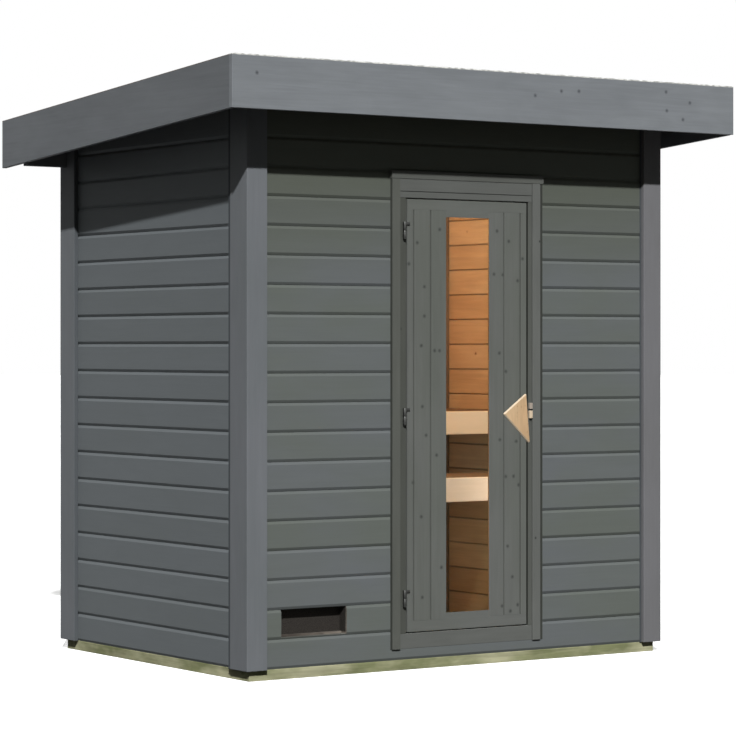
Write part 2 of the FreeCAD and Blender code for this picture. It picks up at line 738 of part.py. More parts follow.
def hinges():
    """Make three barrel hinges, each a lower half with a pin on the frame and an upper half on the leaf."""
    frame_halves = []
    leaf_halves = []
    for level in ("low", "middle", "high"):
        centre = f"Place.hinge_{level}"
        bottom = f"{centre} - Size.hinge_length / 2"
        split = f"{bottom} + Place.half_hinge"
        axis = ("Place.hinge_x", "Place.hinge_y")
        lower = barrel(f"{level}_lower", "Size.hinge_radius", "Place.half_hinge", (*axis, bottom))
        pin = barrel(f"{level}_pin", "Size.pin_radius", "Size.pin_length", (*axis, split))
        arm_x = "Place.hinge_x - Size.hinge_arm_thickness"
        foot = block(
            f"{level}_foot", ("2 * Size.hinge_arm_thickness", "Size.hinge_standoff", "Size.hinge_arm_height"),
            (arm_x, "Place.hinge_y", f"{bottom} + Size.hinge_arm_height"),
        )
        half = doc.addObject("Part::MultiFuse", f"{level}_frame_half")
        half.Shapes = [lower, pin, foot]
        frame_halves.append(half)

        upper_low = f"{split} + Size.hinge_split"
        upper = barrel(f"{level}_upper", "Size.hinge_radius", "Place.half_hinge", (*axis, upper_low))
        arm = block(
            f"{level}_arm", ("Size.hinge_arm_length", "Size.hinge_arm_thickness", "Size.hinge_arm_height"),
            ("Place.hinge_x", "Place.front_y - Size.hinge_arm_thickness",
             f"{upper_low} + Place.half_hinge - Size.hinge_arm_height"),
        )
        solid = doc.addObject("Part::MultiFuse", f"{level}_leaf_solid")
        solid.Shapes = [upper, arm]
        bore = barrel(
            f"{level}_bore", "Size.pin_radius + Size.pin_clearance", "Size.pin_length + Size.pin_clearance",
            (*axis, f"{split}"),
        )
        leaf_half = doc.addObject("Part::Cut", f"{level}_leaf_half")
        leaf_half.Base = solid
        leaf_half.Tool = bore
        leaf_halves.append(leaf_half)
    together("hinge_frame_halves", frame_halves)
    together("hinge_leaf_halves", leaf_halves)


def handle():
    """Make the triangular handle outside, the grip inside and the catch blocks on the jamb."""
    body = padded("door_handle", "XZ_Plane", [
        ("0", "0"), ("-Size.handle_reach", "Size.handle_tip_rise"), ("-Size.handle_top_shift", "Size.handle_height"),
    ], "Size.handle_thickness")
    doc.recompute()
    plate = body.Tip
    upright = []
    for number, edge in enumerate(plate.Shape.Edges, start=1):
        run = edge.Vertexes[1].Point - edge.Vertexes[0].Point
        if abs(run.y) > 1:
            upright.append(f"Edge{number}")
    rounding = body.newObject("PartDesign::Fillet", "handle_corners")
    rounding.Base = (plate, upright)
    rounding.setExpression("Radius", "Size.handle_corner")
    doc.recompute()
    front = rounding.Shape.BoundBox.YMin
    face = [f"Face{n}" for n, f in enumerate(rounding.Shape.Faces, start=1) if f.BoundBox.YMax - front < 1]
    bevel = body.newObject("PartDesign::Chamfer", "handle_bevel")
    bevel.Base = (rounding, face)
    bevel.setExpression("Size", "Size.handle_bevel")
    spacers = body.newObject("Sketcher::SketchObject", "spacer_outline")
    plane = [feature for feature in body.Origin.OriginFeatures if feature.Role == "XZ_Plane"][0]
    spacers.AttachmentSupport = [(plane, "")]
    spacers.MapMode = "FlatFace"
    spacers.setExpression("AttachmentOffset.Base.z", "-Size.handle_thickness")
    for k in range(2):
        spacers.addGeometry(Part.Circle(FreeCAD.Vector(-1, k + 1, 0), FreeCAD.Vector(0, 0, 1), 1), False)
        settings = (
            ("Radius", (k,), 1, "Size.spacer_radius"),
            ("DistanceX", (k, 3), -1, "-Size.spacer_side"),
            ("DistanceY", (k, 3), k + 1, f"Size.spacer_rise + {k} * Size.spacer_pitch"),
        )
        for kind, where, start, text in settings:
            index = spacers.addConstraint(Sketcher.Constraint(kind, *where, start))
            spacers.setExpression(f"Constraints[{index}]", text)
    stand = body.newObject("PartDesign::Pad", "spacers")
    stand.Profile = spacers
    stand.Reversed = True
    stand.setExpression("Length", "Size.handle_standoff")
    put(body, ("Place.handle_right", "Place.handle_back - Size.handle_thickness", "Size.handle_bottom"))
    keep("door_handle", body)

    grip_x = "Place.leaf_x + Place.leaf_width - Size.grip_side - Size.grip_width"
    inside = "Place.front_y + Size.leaf_thickness"
    bar = block(
        "grip_bar", ("Size.grip_width", "Size.grip_thickness", "Size.grip_height"),
        (grip_x, f"{inside} + Size.grip_standoff", "Size.grip_rise"),
    )
    ends = []
    for index, lift in enumerate(("0", "Size.grip_height - Size.grip_width")):
        ends.append(block(
            f"grip_end_{index}", ("Size.grip_width", "Size.grip_standoff", "Size.grip_width"),
            (grip_x, inside, f"Size.grip_rise + {lift}"),
        ))
    grip = doc.addObject("Part::MultiFuse", "door_grip_inside")
    grip.Shapes = [bar, *ends]
    keep("door_grip_inside", grip)

    blocks = []
    for level in ("low", "high"):
        blocks.append(block(
            f"keep_{level}_block", ("Size.keep_width", "Size.keep_thickness", f"Size.keep_{level}_height"),
            ("Place.latch_jamb_x", "Place.front_y - Size.keep_thickness", f"Size.keep_{level}"),
        ))
    together("door_catch_blocks", blocks)


def vent_cover():
    """Fix a rim and a screen behind the air vent."""
    rim = "Size.vent_rim_width"
    width = "Size.vent_width"
    height = "Place.vent_height"
    thick = "Size.vent_rim_thickness"
    x = "Place.left_x + Size.vent_left"
    y = "Place.room_front"
    frame = block(
        "vent_rim_outside", (f"{width} + 2 * {rim}", thick, f"{height} + 2 * {rim}"),
        (f"{x} - {rim}", y, f"Place.vent_low - {rim}"),
    )
    hole = block("vent_rim_hole", (width, thick, height), (x, y, "Place.vent_low"))
    rim_ring = doc.addObject("Part::Cut", "vent_rim")
    rim_ring.Base = frame
    rim_ring.Tool = hole
    keep("vent_rim", rim_ring)
    keep("vent_screen", block(
        "vent_screen", (f"{width} + 2 * {rim}", "Size.vent_screen_thickness", f"{height} + 2 * {rim}"),
        (f"{x} - {rim}", f"{y} + {thick}", f"Place.vent_low - {rim}"),
    ))


def bench(level, slat_count, back):
    """Make one bench: a front board, slats along the room, and returns its three bearers."""
    front = f"Place.{level}_front"
    top = f"Size.{level}_bench_top"
    thick = "Size.bench_front_thickness"
    keep(f"{level}_bench_front", block(
        f"{level}_bench_front", ("Place.room_width", thick, "Size.bench_front_height"),
        ("Place.room_left", front, f"{top} - Size.bench_front_height"),
    ))
    slats = []
    for index in range(slat_count):
        slats.append(block(
            f"{level}_slat_{index}", ("Place.room_width", "Size.slat_width", "Size.slat_thickness"),
            ("Place.room_left", f"{front} + {thick} + {index} * Place.slat_pitch", f"{top} - Size.slat_thickness"),
        ))
    together(f"{level}_bench_slats", slats)
    start = f"{front} + {thick}"
    bearers = []
    for name, x in (
        ("left", "Place.room_left"),
        ("middle", "-Size.bearer_width / 2"),
        ("right", "Place.room_right - Size.bearer_width"),
    ):
        bearers.append(block(
            f"{level}_{name}_bearer", ("Size.bearer_width", f"{back} - ({start})", "Size.bearer_height"),
            (x, start, f"{top} - Size.slat_thickness - Size.bearer_height"),
        ))
    return bearers


def benches():
    """Fit the upper bench against the back wall and the lower bench in front of it."""
    upper = bench("upper", int(size_sheet.get("upper_slats")), "Place.room_back")
    lower = bench("lower", int(size_sheet.get("lower_slats")), "Place.upper_front")
    together("bench_bearers", upper + lower)
    keep("lower_bench_rail", block(
        "lower_bench_rail", ("Place.room_width", "Size.rail_width", "Size.bearer_height"),
        ("Place.room_left", "Place.upper_front", "Size.lower_bench_top - Size.slat_thickness - Size.bearer_height"),
    ))


def check_and_write():
    """Recompute the document, stop if anything in it failed, and write each node to its own file."""
    doc.recompute()
    for item in doc.Objects:
        if "Invalid" in item.State or "Error" in item.State:
            raise RuntimeError(f"{item.Name} failed: {item.State}")
    for name, piece in nodes.items():
        if piece.Shape.isNull() or not piece.Shape.isValid():
            raise RuntimeError(f"{name} has no sound shape")
    os.makedirs("parts", exist_ok=True)
    for name, piece in nodes.items():
        piece.Shape.exportStep(f"parts/{name}.step")
    print(f"wrote {len(nodes)} nodes")


base_frame()
corner_posts()
front_walls()
other_walls()
roof_beams()
roof()
door_frame()
door_leaf()
hinges()
handle()
vent_cover()
benches()
check_and_write()
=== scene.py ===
import json
import logging
import math
from dataclasses import dataclass, field
from enum import Enum
from typing import Callable, ClassVar, Iterable, Sequence

import bpy
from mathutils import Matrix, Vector

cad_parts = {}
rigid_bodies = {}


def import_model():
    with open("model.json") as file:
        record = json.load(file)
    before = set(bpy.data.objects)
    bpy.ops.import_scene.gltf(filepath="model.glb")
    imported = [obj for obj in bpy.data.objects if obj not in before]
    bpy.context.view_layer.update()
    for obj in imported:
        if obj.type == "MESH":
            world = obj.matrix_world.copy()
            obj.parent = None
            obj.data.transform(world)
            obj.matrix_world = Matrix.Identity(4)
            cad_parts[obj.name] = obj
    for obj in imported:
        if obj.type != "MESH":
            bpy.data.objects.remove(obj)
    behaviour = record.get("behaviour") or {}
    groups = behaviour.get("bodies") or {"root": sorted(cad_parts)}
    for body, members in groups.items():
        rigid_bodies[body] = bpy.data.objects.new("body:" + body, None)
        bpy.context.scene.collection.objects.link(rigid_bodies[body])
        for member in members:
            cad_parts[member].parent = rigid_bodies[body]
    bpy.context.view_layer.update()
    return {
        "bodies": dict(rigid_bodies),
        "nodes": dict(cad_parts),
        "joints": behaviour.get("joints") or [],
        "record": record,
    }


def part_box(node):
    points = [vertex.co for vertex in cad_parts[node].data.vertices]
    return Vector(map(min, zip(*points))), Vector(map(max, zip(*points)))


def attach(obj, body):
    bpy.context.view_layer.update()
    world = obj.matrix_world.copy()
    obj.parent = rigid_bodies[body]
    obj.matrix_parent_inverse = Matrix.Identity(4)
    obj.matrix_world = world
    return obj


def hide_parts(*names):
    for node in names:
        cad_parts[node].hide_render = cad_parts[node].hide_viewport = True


LOG = logging.getLogger("sauna_cabin")
MILLIMETRE = 0.001
# The height that one plank of the walls covers.
COVER = 0.114
# Points nearer than WELD become one, and faces that meet under less than FLAT become one face.
WELD = MILLIMETRE / 20
FLAT = math.radians(1)
# A face looks along an axis when its normal's part on it is over FACING, and past it when under ASIDE.
FACING = 0.9
ASIDE = 0.1
# The mix node's sockets for colours, which share their names with those for numbers.
MIX_FIRST, MIX_SECOND, MIX_RESULT = 6, 7, 2

UPWARD = Vector((0.0, 0.0, 1.0))
BACKWARD = Vector((0.0, 1.0, 0.0))

Piece = bpy.types.Object
Material = bpy.types.Material
Socket = bpy.types.NodeSocket
Colour = tuple[float, float, float]
Place = tuple[float, float, float]
Places = tuple[tuple[float, float], ...]
Span = tuple[float, float]


class Axis(Enum):
    """The direction that a timber's grain runs in."""

    ACROSS = 0
    DEEP = 1
    UP = 2

    @property
    def aside(self) -> "Axis":
        """The level direction through a board whose grain runs this way."""
        return Axis.DEEP if self is Axis.ACROSS else Axis.ACROSS


class Side(Enum):
    """A side of the cabin, with the direction that its outer face looks in."""

    FRONT = (0, -1)
    BACK = (0, 1)
    LEFT = (-1, 0)
    RIGHT = (1, 0)

    @property
    def thin_axis(self) -> int:
        """The index of the axis through the wall's thickness."""
        return 1 if self.value[0] == 0 else 0

    @property
    def outward(self) -> int:
        """The way along that axis that leads out of the cabin."""
        return self.value[self.thin_axis]


class Part(Enum):
    """What is picked in edit mode."""

    POINT = "VERT"
    EDGE = "EDGE"
    FACE = "FACE"


class Body(Enum):
    """The two bodies that pieces move with."""

    CABIN = "cabin"
    DOOR = "door"


class Slot(Enum):
    """The record's names for the finishes."""

    WALLS = "wall_boards"
    POSTS = "corner_posts"
    FASCIAS = "fascia_boards"
    JOINERY = "door_paint"
    TREATED = "treated_timber"
    PLAIN = "plain_timber"
    BENCHES = "bench_wood"
    GRIPS = "handle_wood"
    FELT = "roof_felt"
    GLASS = "door_glass"
    STEEL = "hinge_steel"
    MESH = "vent_mesh"


def tint(red: float, green: float, blue: float) -> Colour:
    """Turn a colour as a screen shows it, from 0 to 255, into the linear colour that a shader takes.

    Args:
        red: The red part.
        green: The green part.
        blue: The blue part.

    Returns:
        The linear colour.
    """
    top = 255.0
    knee, slope, offset, power = 0.04045, 12.92, 0.055, 2.4
    parts = []
    for part in (red, green, blue):
        share = part / top
        parts.append(share / slope if share <= knee else ((share + offset) / (1 + offset)) ** power)
    return parts[0], parts[1], parts[2]


class Bench:
    """The worktable: the few operators that every piece is made with."""

    @staticmethod
    def clear() -> None:
        """Leave edit mode and deselect everything."""
        if bpy.context.mode != "OBJECT":
            bpy.ops.object.mode_set(mode="OBJECT")
        bpy.ops.object.select_all(action="DESELECT")

    @staticmethod
    def take(piece: Piece) -> None:
        """Make one piece the only one that is selected.

        Args:
            piece: The piece.
        """
        Bench.clear()
        piece.select_set(True)
        bpy.context.view_layer.objects.active = piece

    @staticmethod
    def settle(name: str) -> Piece:
        """Name the piece that was just added, and move its place, turn and scale into its mesh.

        Args:
            name: Its name.

        Returns:
            The piece.
        """
        piece = bpy.context.object
        piece.name = name
        piece.data.name = name
        Bench.take(piece)
        bpy.ops.object.transform_apply(location=True, rotation=True, scale=True)
        return piece

    @staticmethod
    def block(name: str, low: Sequence[float], high: Sequence[float]) -> Piece:
        """Saw a square block at its size and place.

        Args:
            name: The piece's name.
            low: Its lowest corner.
            high: Its highest corner.

        Returns:
            The block, with its place in its mesh.
        """
        Bench.clear()
        first, last = Vector(low), Vector(high)
        bpy.ops.mesh.primitive_cube_add(size=1, location=(first + last) / 2, scale=last - first)
        return Bench.settle(name)

    @staticmethod
    def rod(name: str, centre: Sequence[float], radius: float, depth: float, sides: int) -> Piece:
        """Turn a round bar that runs from the front to the back.

        Args:
            name: The piece's name.
            centre: The middle of the bar.
            radius: Its radius.
            depth: Its length.
            sides: How many flats it has round it.

        Returns:
            The bar, with its place in its mesh.
        """
        Bench.clear()
        bpy.ops.mesh.primitive_cylinder_add(
            vertices=sides, radius=radius, depth=depth, location=centre, rotation=(math.pi / 2, 0.0, 0.0)
        )
        return Bench.settle(name)

    @staticmethod
    def edit(piece: Piece, part: Part, all_picked: bool = False) -> None:
        """Open a piece in edit mode.

        Args:
            piece: The piece.
            part: What can be picked in it.
            all_picked: Whether all of it is picked, or nothing.
        """
        Bench.take(piece)
        bpy.ops.object.mode_set(mode="EDIT")
        bpy.ops.mesh.select_mode(type=part.value)
        bpy.ops.mesh.select_all(action="SELECT" if all_picked else "DESELECT")

    @staticmethod
    def done() -> None:
        """Leave edit mode."""
        bpy.ops.object.mode_set(mode="OBJECT")

    @staticmethod
    def pick(piece: Piece, part: Part, test: Callable[..., bool]) -> None:
        """Open a piece in edit mode with the parts picked that pass a test.

        Args:
            piece: The piece.
            part: What is picked.
            test: Takes a point's place, the places of an edge's two ends, or a face's centre and normal.
        """
        Bench.edit(piece, part)
        Bench.done()
        mesh = piece.data
        if part is Part.POINT:
            for point in mesh.vertices:
                point.select = test(point.co)
        elif part is Part.EDGE:
            for edge in mesh.edges:
                edge.select = test(*(mesh.vertices[index].co for index in edge.vertices))
        else:
            for face in mesh.polygons:
                face.select = test(face.center, face.normal)
        bpy.ops.object.mode_set(mode="EDIT")

    @staticmethod
    def move(piece: Piece, test: Callable[[Vector], bool], step: Sequence[float]) -> None:
        """Move the points of a piece that pass a test.

        Args:
            piece: The piece.
            test: Takes a point's place.
            step: How far they move.
        """
        Bench.pick(piece, Part.POINT, test)
        bpy.ops.transform.translate(value=step)
        Bench.done()

    @staticmethod
    def inset(piece: Piece, facing: float, width: float, step: float = 0.0) -> None:
        """Inset the faces that look forward or back, and move what lies within.

        Args:
            piece: The piece.
            facing: Less than 0 for the faces that look forward, more for those that look back.
            width: How wide the new rim is.
            step: How far the middle moves back.
        """
        Bench.pick(piece, Part.FACE, lambda centre, normal: normal.y * facing > FACING)
        bpy.ops.mesh.inset(thickness=width, depth=0.0)
        if step:
            bpy.ops.transform.translate(value=(0.0, step, 0.0))
        Bench.done()

    @staticmethod
    def split(piece: Piece, point: Vector, normal: Vector, keep_below: bool = False) -> None:
        """Cut a piece along a plane, and close the cut if the far part is thrown away.

        Args:
            piece: The piece.
            point: A point of the plane.
            normal: The plane's normal.
            keep_below: Whether only the part behind the plane is kept.
        """
        Bench.edit(piece, Part.FACE, True)
        bpy.ops.mesh.bisect(
            plane_co=point, plane_no=normal, use_fill=keep_below, clear_outer=keep_below, clear_inner=False
        )
        Bench.done()

    @staticmethod
    def modify(piece: Piece, kind: str, **settings: object) -> None:
        """Put a modifier on a piece and apply it.

        Args:
            piece: The piece.
            kind: The modifier's kind.
            settings: Its settings by name.
        """
        Bench.take(piece)
        modifier = piece.modifiers.new(kind.lower(), kind)
        for name, value in settings.items():
            setattr(modifier, name, value)
        bpy.ops.object.modifier_apply(modifier=modifier.name)

    @staticmethod
    def ease(piece: Piece, width: float, segments: int = 2, angle: float = 30.0) -> None:
        """Take the sharp edges off a piece."""
        Bench.modify(piece, "BEVEL", width=width, segments=segments, limit_method="ANGLE",
                     angle_limit=math.radians(angle), use_clamp_overlap=True)

    @staticmethod
    def repeat(piece: Piece, count: int, step: Sequence[float]) -> None:
        """Repeat a piece in a row, within its own mesh."""
        Bench.modify(piece, "ARRAY", count=count, use_relative_offset=False, use_constant_offset=True,
                     constant_offset_displace=step)

    @staticmethod
    def cut(piece: Piece, tool: Piece) -> None:
        """Cut the shape of a tool out of a piece, and throw the tool away.

        Args:
            piece: The piece.
            tool: The tool.
        """
        Bench.modify(piece, "BOOLEAN", operation="DIFFERENCE", solver="FAST", object=tool)
        Bench.take(tool)
        bpy.ops.object.delete()

    @staticmethod
    def join(name: str, pieces: Sequence[Piece]) -> Piece:
        """Join pieces into one.

        Args:
            name: The whole piece's name.
            pieces: Its parts.

        Returns:
            The whole piece.
        """
        Bench.clear()
        for piece in pieces:
            piece.select_set(True)
        bpy.context.view_layer.objects.active = pieces[0]
        bpy.ops.object.join()
        whole = bpy.context.object
        whole.name = name
        whole.data.name = name
        return whole

    @staticmethod
    def from_solid(frame: dict, node: str, name: str, ease: float) -> Piece:
        """Make a piece with eased edges on the shape of one of the cabin's solids.

        Args:
            node: The solid's name.
            name: The new piece's name.
            ease: How much comes off each edge.

        Returns:
            The piece.
        """
        piece = bpy.data.objects.new(name, frame["nodes"][node].data.copy())
        bpy.context.scene.collection.objects.link(piece)
        piece.data.materials.clear()
        Bench.edit(piece, Part.FACE, True)
        bpy.ops.mesh.customdata_custom_splitnormals_clear()
        bpy.ops.mesh.remove_doubles(threshold=WELD)
        bpy.ops.mesh.dissolve_limited(angle_limit=FLAT)
        Bench.done()
        bpy.ops.object.shade_flat()
        if ease > 0:
            Bench.ease(piece, ease)
        return piece


class Graph:
    """The nodes of one finish."""

    def __init__(self, name: str) -> None:
        """Start a material with a shader that is joined to its output.

        Args:
            name: The material's name.
        """
        self.material = bpy.data.materials.new(name)
        self.material.use_nodes = True
        self.tree = self.material.node_tree
        self.tree.nodes.clear()
        output = self.add("ShaderNodeOutputMaterial")
        self.shader = self.add("ShaderNodeBsdfPrincipled")
        self.feed(output.inputs["Surface"], self.shader.outputs["BSDF"])

    def add(self, kind: str, inputs: dict | None = None, **settings: object) -> bpy.types.Node:
        """Add a node.

        Args:
            kind: Its kind.
            inputs: What its sockets are fed with, by their name or number.
            settings: Its settings by name.

        Returns:
            The node.
        """
        node = self.tree.nodes.new(kind)
        for name, value in settings.items():
            setattr(node, name, value)
        for name, value in (inputs or {}).items():
            self.feed(node.inputs[name], value)
        return node

    def feed(self, target: Socket, value: object) -> None:
        """Join a socket to another, or set it to a number or a colour.

        Args:
            target: The socket.
            value: What it is fed with.
        """
        if isinstance(value, Socket):
            self.tree.links.new(value, target)
        elif target.type == "RGBA":
            target.default_value = (*value, 1.0)
        else:
            target.default_value = value

    def finish(self, inputs: dict[str, object]) -> Material:
        """Feed the shader, and hand out the material.

        Args:
            inputs: What the shader's sockets are fed with, by name.

        Returns:
            The material.
        """
        for name, value in inputs.items():
            self.feed(self.shader.inputs[name], value)
        return self.material

    def place(self) -> Socket:
        """Read the place on the piece, in metres."""
        return self.add("ShaderNodeTexCoord").outputs["Object"]

    def parts(self, place: Socket) -> bpy.types.NodeOutputs:
        """Take a place apart, into X, Y and Z."""
        return self.add("ShaderNodeSeparateXYZ", {"Vector": place}).outputs

    def scaled(self, place: Socket, scale: Sequence[float], shift: float = 0.0) -> Socket:
        """Stretch and move the place that a pattern reads."""
        return self.add("ShaderNodeMapping", {
            "Vector": place, "Scale": scale, "Location": (shift, shift, shift)}).outputs["Vector"]

    def noise(self, place: Socket, scale: float, detail: float = 4.0, rough: float = 0.5,
              distort: float = 0.0) -> Socket:
        """Add a cloudy pattern from 0 to 1."""
        return self.add("ShaderNodeTexNoise", {
            "Vector": place, "Scale": scale, "Detail": detail, "Roughness": rough,
            "Distortion": distort}).outputs["Fac"]

    def maths(self, operation: str, first: object, second: object = 0.0) -> Socket:
        """Work out one number from two."""
        return self.add("ShaderNodeMath", {0: first, 1: second}, operation=operation).outputs[0]

    def between(self, value: Socket, low: float, high: float, out_low: float = 0.0,
                out_high: float = 1.0) -> Socket:
        """Stretch the span from low to high over another span, and hold it at its ends."""
        return self.add("ShaderNodeMapRange", {
            "Value": value, "From Min": low, "From Max": high, "To Min": out_low, "To Max": out_high,
        }, clamp=True).outputs["Result"]

    def blend(self, share: object, first: object, second: object, kind: str = "MIX") -> Socket:
        """Blend two colours."""
        return self.add("ShaderNodeMix", {"Factor": share, MIX_FIRST: first, MIX_SECOND: second},
                        data_type="RGBA", blend_type=kind).outputs[MIX_RESULT]

    def shade(self, colour: object, amount: Socket) -> Socket:
        """Multiply a colour by a grey amount."""
        grey = self.add("ShaderNodeCombineColor", {"Red": amount, "Green": amount, "Blue": amount})
        return self.blend(1.0, colour, grey.outputs["Color"], "MULTIPLY")

    def bump(self, height: Socket, depth: float) -> Socket:
        """Turn a pattern into the normal of a raised surface."""
        return self.add("ShaderNodeBump", {"Distance": depth, "Height": height}).outputs["Normal"]


@dataclass(frozen=True)
class Cloud:
    """How a cloudy pattern on timber looks.

    Attributes:
        along: How fine it is along the grain.
        across: How fine it is across the grain.
        shift: Where it starts.
        detail: How many finer patterns lie in it.
        rough: How strong those are.
        distort: How much it is stirred.
    """

    along: float
    across: float = 1.0
    shift: float = 0.0
    detail: float = 3.0
    rough: float = 0.5
    distort: float = 0.0


@dataclass(frozen=True)
class Timber:
    """A timber finish: two tones, grain along one axis, knots, and planks that each differ a little.

    Attributes:
        name: The finish's name.
        light: The lighter tone, as a screen shows it.
        dark: The darker tone.
        grain: The direction of the grain.
        grain_depth: How much the grain darkens the colour.
        grain_width: How fine the grain is across its lines, in lines a metre.
        knots: How many knots lie along a metre, or 0 for none.
        knot_radius: The radius of the largest knots.
        knot_colour: The colour of a knot.
        through: The direction through the board, in which its knots run.
        marks: Where single knots lie, across and up, in metres.
        mark_radius: The radius of these single knots, with their soft rim.
        cover: The height of one plank, or 0 where the finish isn't on planks.
        foot: The height of the lowest plank's foot.
        plank_spread: How much one plank differs from the next.
        patch_scale: How small the patches of the two tones are.
        crown: The tone that the planks take on towards the eaves, if they do.
        crown_span: The heights where that starts and ends, and how far it goes.
        joint_tone: How dark a plank is beside a joint.
        joint_reach: How far from it that reaches, as a share of the plank.
        roughness: How matt the surface is.
        sheen: How strong its reflections are.
        relief: How deep the grain is.
        LINES: The pattern of the fine grain lines.
        FIGURE: The pattern of the wide figure.
        PATCHES: The pattern of the two tones.
        LINE_SPAN: Where in its pattern a line darkens.
        FIGURE_SPAN: The same for the figure.
        PATCH_SPAN: The same for the two tones.
        FIGURE_SIZE: How fine the figure is, as a share of the lines.
        FIGURE_LIFT: How much the figure lightens, as a share of the grain's depth.
        FIGURE_DROP: How much it darkens, as a share of that.
        PLANK_PULL: How much a plank's random number pulls it to one tone.
        PLANK_SPAN: Where the tone changes once that pull is added.
        WALL_SPLIT: What parts the planks of the left half from the others.
        WALL_STEP: How far apart their random numbers are.
        KNOT_ALONG: How fine the pattern of knots is along the grain.
        KNOT_THROUGH: How fine it is through the board.
        KNOT_SHIFT: Where the pattern of knots starts.
        KNOT_CORE: The dark core of a knot, as a share of its radius.
        KNOT_PICK: Where a spot of the pattern becomes a knot.
        KNOT_DENT: How deep a knot lies, as a share of the grain.
        RAGGED: How ragged a knot's rim is, in metres.
        RAGGED_SCALE: How fine that raggedness is.
        RAGGED_DETAIL: How many finer patterns lie in it.
    """

    name: str
    light: Colour
    dark: Colour
    grain: Axis
    grain_depth: float = 0.10
    grain_width: float = 70.0
    knots: float = 0.0
    knot_radius: float = 0.006
    knot_colour: Colour = (52, 53, 52)
    through: Axis = Axis.DEEP
    marks: Places = ()
    mark_radius: float = 0.0105
    cover: float = 0.0
    foot: float = 0.041
    plank_spread: float = 0.0
    patch_scale: float = 2.6
    # crown: The darker tone that the planks take on towards the eaves, if they do: a painted shade.
    crown: Colour | None = None
    crown_span: tuple[float, float, float] = (1.50, 1.93, 0.85)
    # joint_tone: How dark a plank is beside a joint, a painted shade in the groove.
    joint_tone: float = 0.97
    joint_reach: float = 0.06
    roughness: float = 0.62
    sheen: float = 0.12
    relief: float = 0.0003

    LINES: ClassVar[Cloud] = Cloud(along=0.035, shift=3.1, detail=5.0, rough=0.62, distort=0.9)
    FIGURE: ClassVar[Cloud] = Cloud(along=0.22, shift=7.7, distort=1.6)
    PATCHES: ClassVar[Cloud] = Cloud(along=0.7, across=1.6, rough=0.55)
    LINE_SPAN: ClassVar[Span] = (0.35, 0.75)
    FIGURE_SPAN: ClassVar[Span] = (0.3, 0.7)
    PATCH_SPAN: ClassVar[Span] = (0.36, 0.64)
    FIGURE_SIZE: ClassVar[float] = 0.16
    FIGURE_LIFT: ClassVar[float] = 0.3
    FIGURE_DROP: ClassVar[float] = 0.5
    PLANK_PULL: ClassVar[float] = 1.2
    PLANK_SPAN: ClassVar[Span] = (0.3, 1.9)
    WALL_SPLIT: ClassVar[float] = 0.45
    WALL_STEP: ClassVar[float] = 31.7
    KNOT_ALONG: ClassVar[float] = 0.8
    KNOT_THROUGH: ClassVar[float] = 0.02
    KNOT_SHIFT: ClassVar[float] = 0.37
    KNOT_CORE: ClassVar[float] = 0.3
    KNOT_PICK: ClassVar[Span] = (0.45, 0.65)
    KNOT_DENT: ClassVar[float] = 1.5
    RAGGED: ClassVar[float] = 0.004
    RAGGED_SCALE: ClassVar[float] = 160.0
    RAGGED_DETAIL: ClassVar[float] = 2.0

    def pattern(self, graph: Graph, place: Socket, cloud: Cloud, scale: float) -> Socket:
        """Add a cloudy pattern that is drawn out along the grain.

        Args:
            graph: The finish's nodes.
            place: The place on the piece.
            cloud: How the pattern looks.
            scale: How fine it is.

        Returns:
            The pattern, from 0 to 1.
        """
        stretch = [cloud.across] * 3
        stretch[self.grain.value] = cloud.along
        return graph.noise(graph.scaled(place, stretch, cloud.shift), scale, cloud.detail, cloud.rough,
                           cloud.distort)

    def knot_mask(self, graph: Graph, place: Socket) -> Socket:
        """Spread knots over the surface, each one running right through its board.

        Args:
            graph: The finish's nodes.
            place: The place on the piece.

        Returns:
            A pattern that is 1 in the middle of a knot and 0 away from it.
        """
        squash = [1.0, 1.0, 1.0]
        squash[self.grain.value] = self.KNOT_ALONG
        squash[self.through.value] = self.KNOT_THROUGH
        uneven = graph.noise(place, self.RAGGED_SCALE, self.RAGGED_DETAIL)
        bent = graph.add("ShaderNodeVectorMath", {0: uneven, 1: (self.RAGGED,) * 3, 2: place},
                         operation="MULTIPLY_ADD").outputs["Vector"]
        spread = graph.add("ShaderNodeTexVoronoi", {
            "Vector": graph.scaled(bent, squash, self.KNOT_SHIFT), "Scale": self.knots})
        reach = self.knot_radius * self.knots
        spot = graph.between(spread.outputs["Distance"], reach * self.KNOT_CORE, reach, 1.0, 0.0)
        pick = graph.add("ShaderNodeSeparateColor", {"Color": spread.outputs["Color"]})
        mask = graph.maths("MULTIPLY", spot, graph.between(pick.outputs["Red"], *self.KNOT_PICK))
        flat = graph.scaled(bent, (1.0, 0.0, 1.0))
        for across, up in self.marks:
            away = graph.add("ShaderNodeVectorMath", {0: flat, 1: (across, 0.0, up)}, operation="DISTANCE")
            mark = graph.between(away.outputs["Value"], 0.0, self.mark_radius, 1.0, 0.0)
            mask = graph.maths("MAXIMUM", mask, mark)
        return mask

    def plank_tone(self, graph: Graph, place: Socket) -> tuple[Socket, Socket]:
        """Tell the planks apart.

        Args:
            graph: The finish's nodes.
            place: The place on the piece.

        Returns:
            A random number for each plank, and how near the place is to a joint, from 0 at the joint to 1.
        """
        parts = graph.parts(place)
        height = graph.maths("DIVIDE", graph.maths("SUBTRACT", parts["Z"], self.foot), self.cover)
        number = graph.maths("FLOOR", height)
        wall = graph.maths("ROUND", graph.maths("MULTIPLY", parts["X"], self.WALL_SPLIT))
        key = graph.maths("ADD", number, graph.maths("MULTIPLY", wall, self.WALL_STEP))
        random = graph.add("ShaderNodeTexWhiteNoise", {"W": key}, noise_dimensions="1D")
        share = graph.maths("FRACT", height)
        nearest = graph.maths("MINIMUM", share, graph.maths("SUBTRACT", 1.0, share))
        return random.outputs["Value"], graph.between(nearest, 0.0, self.joint_reach)

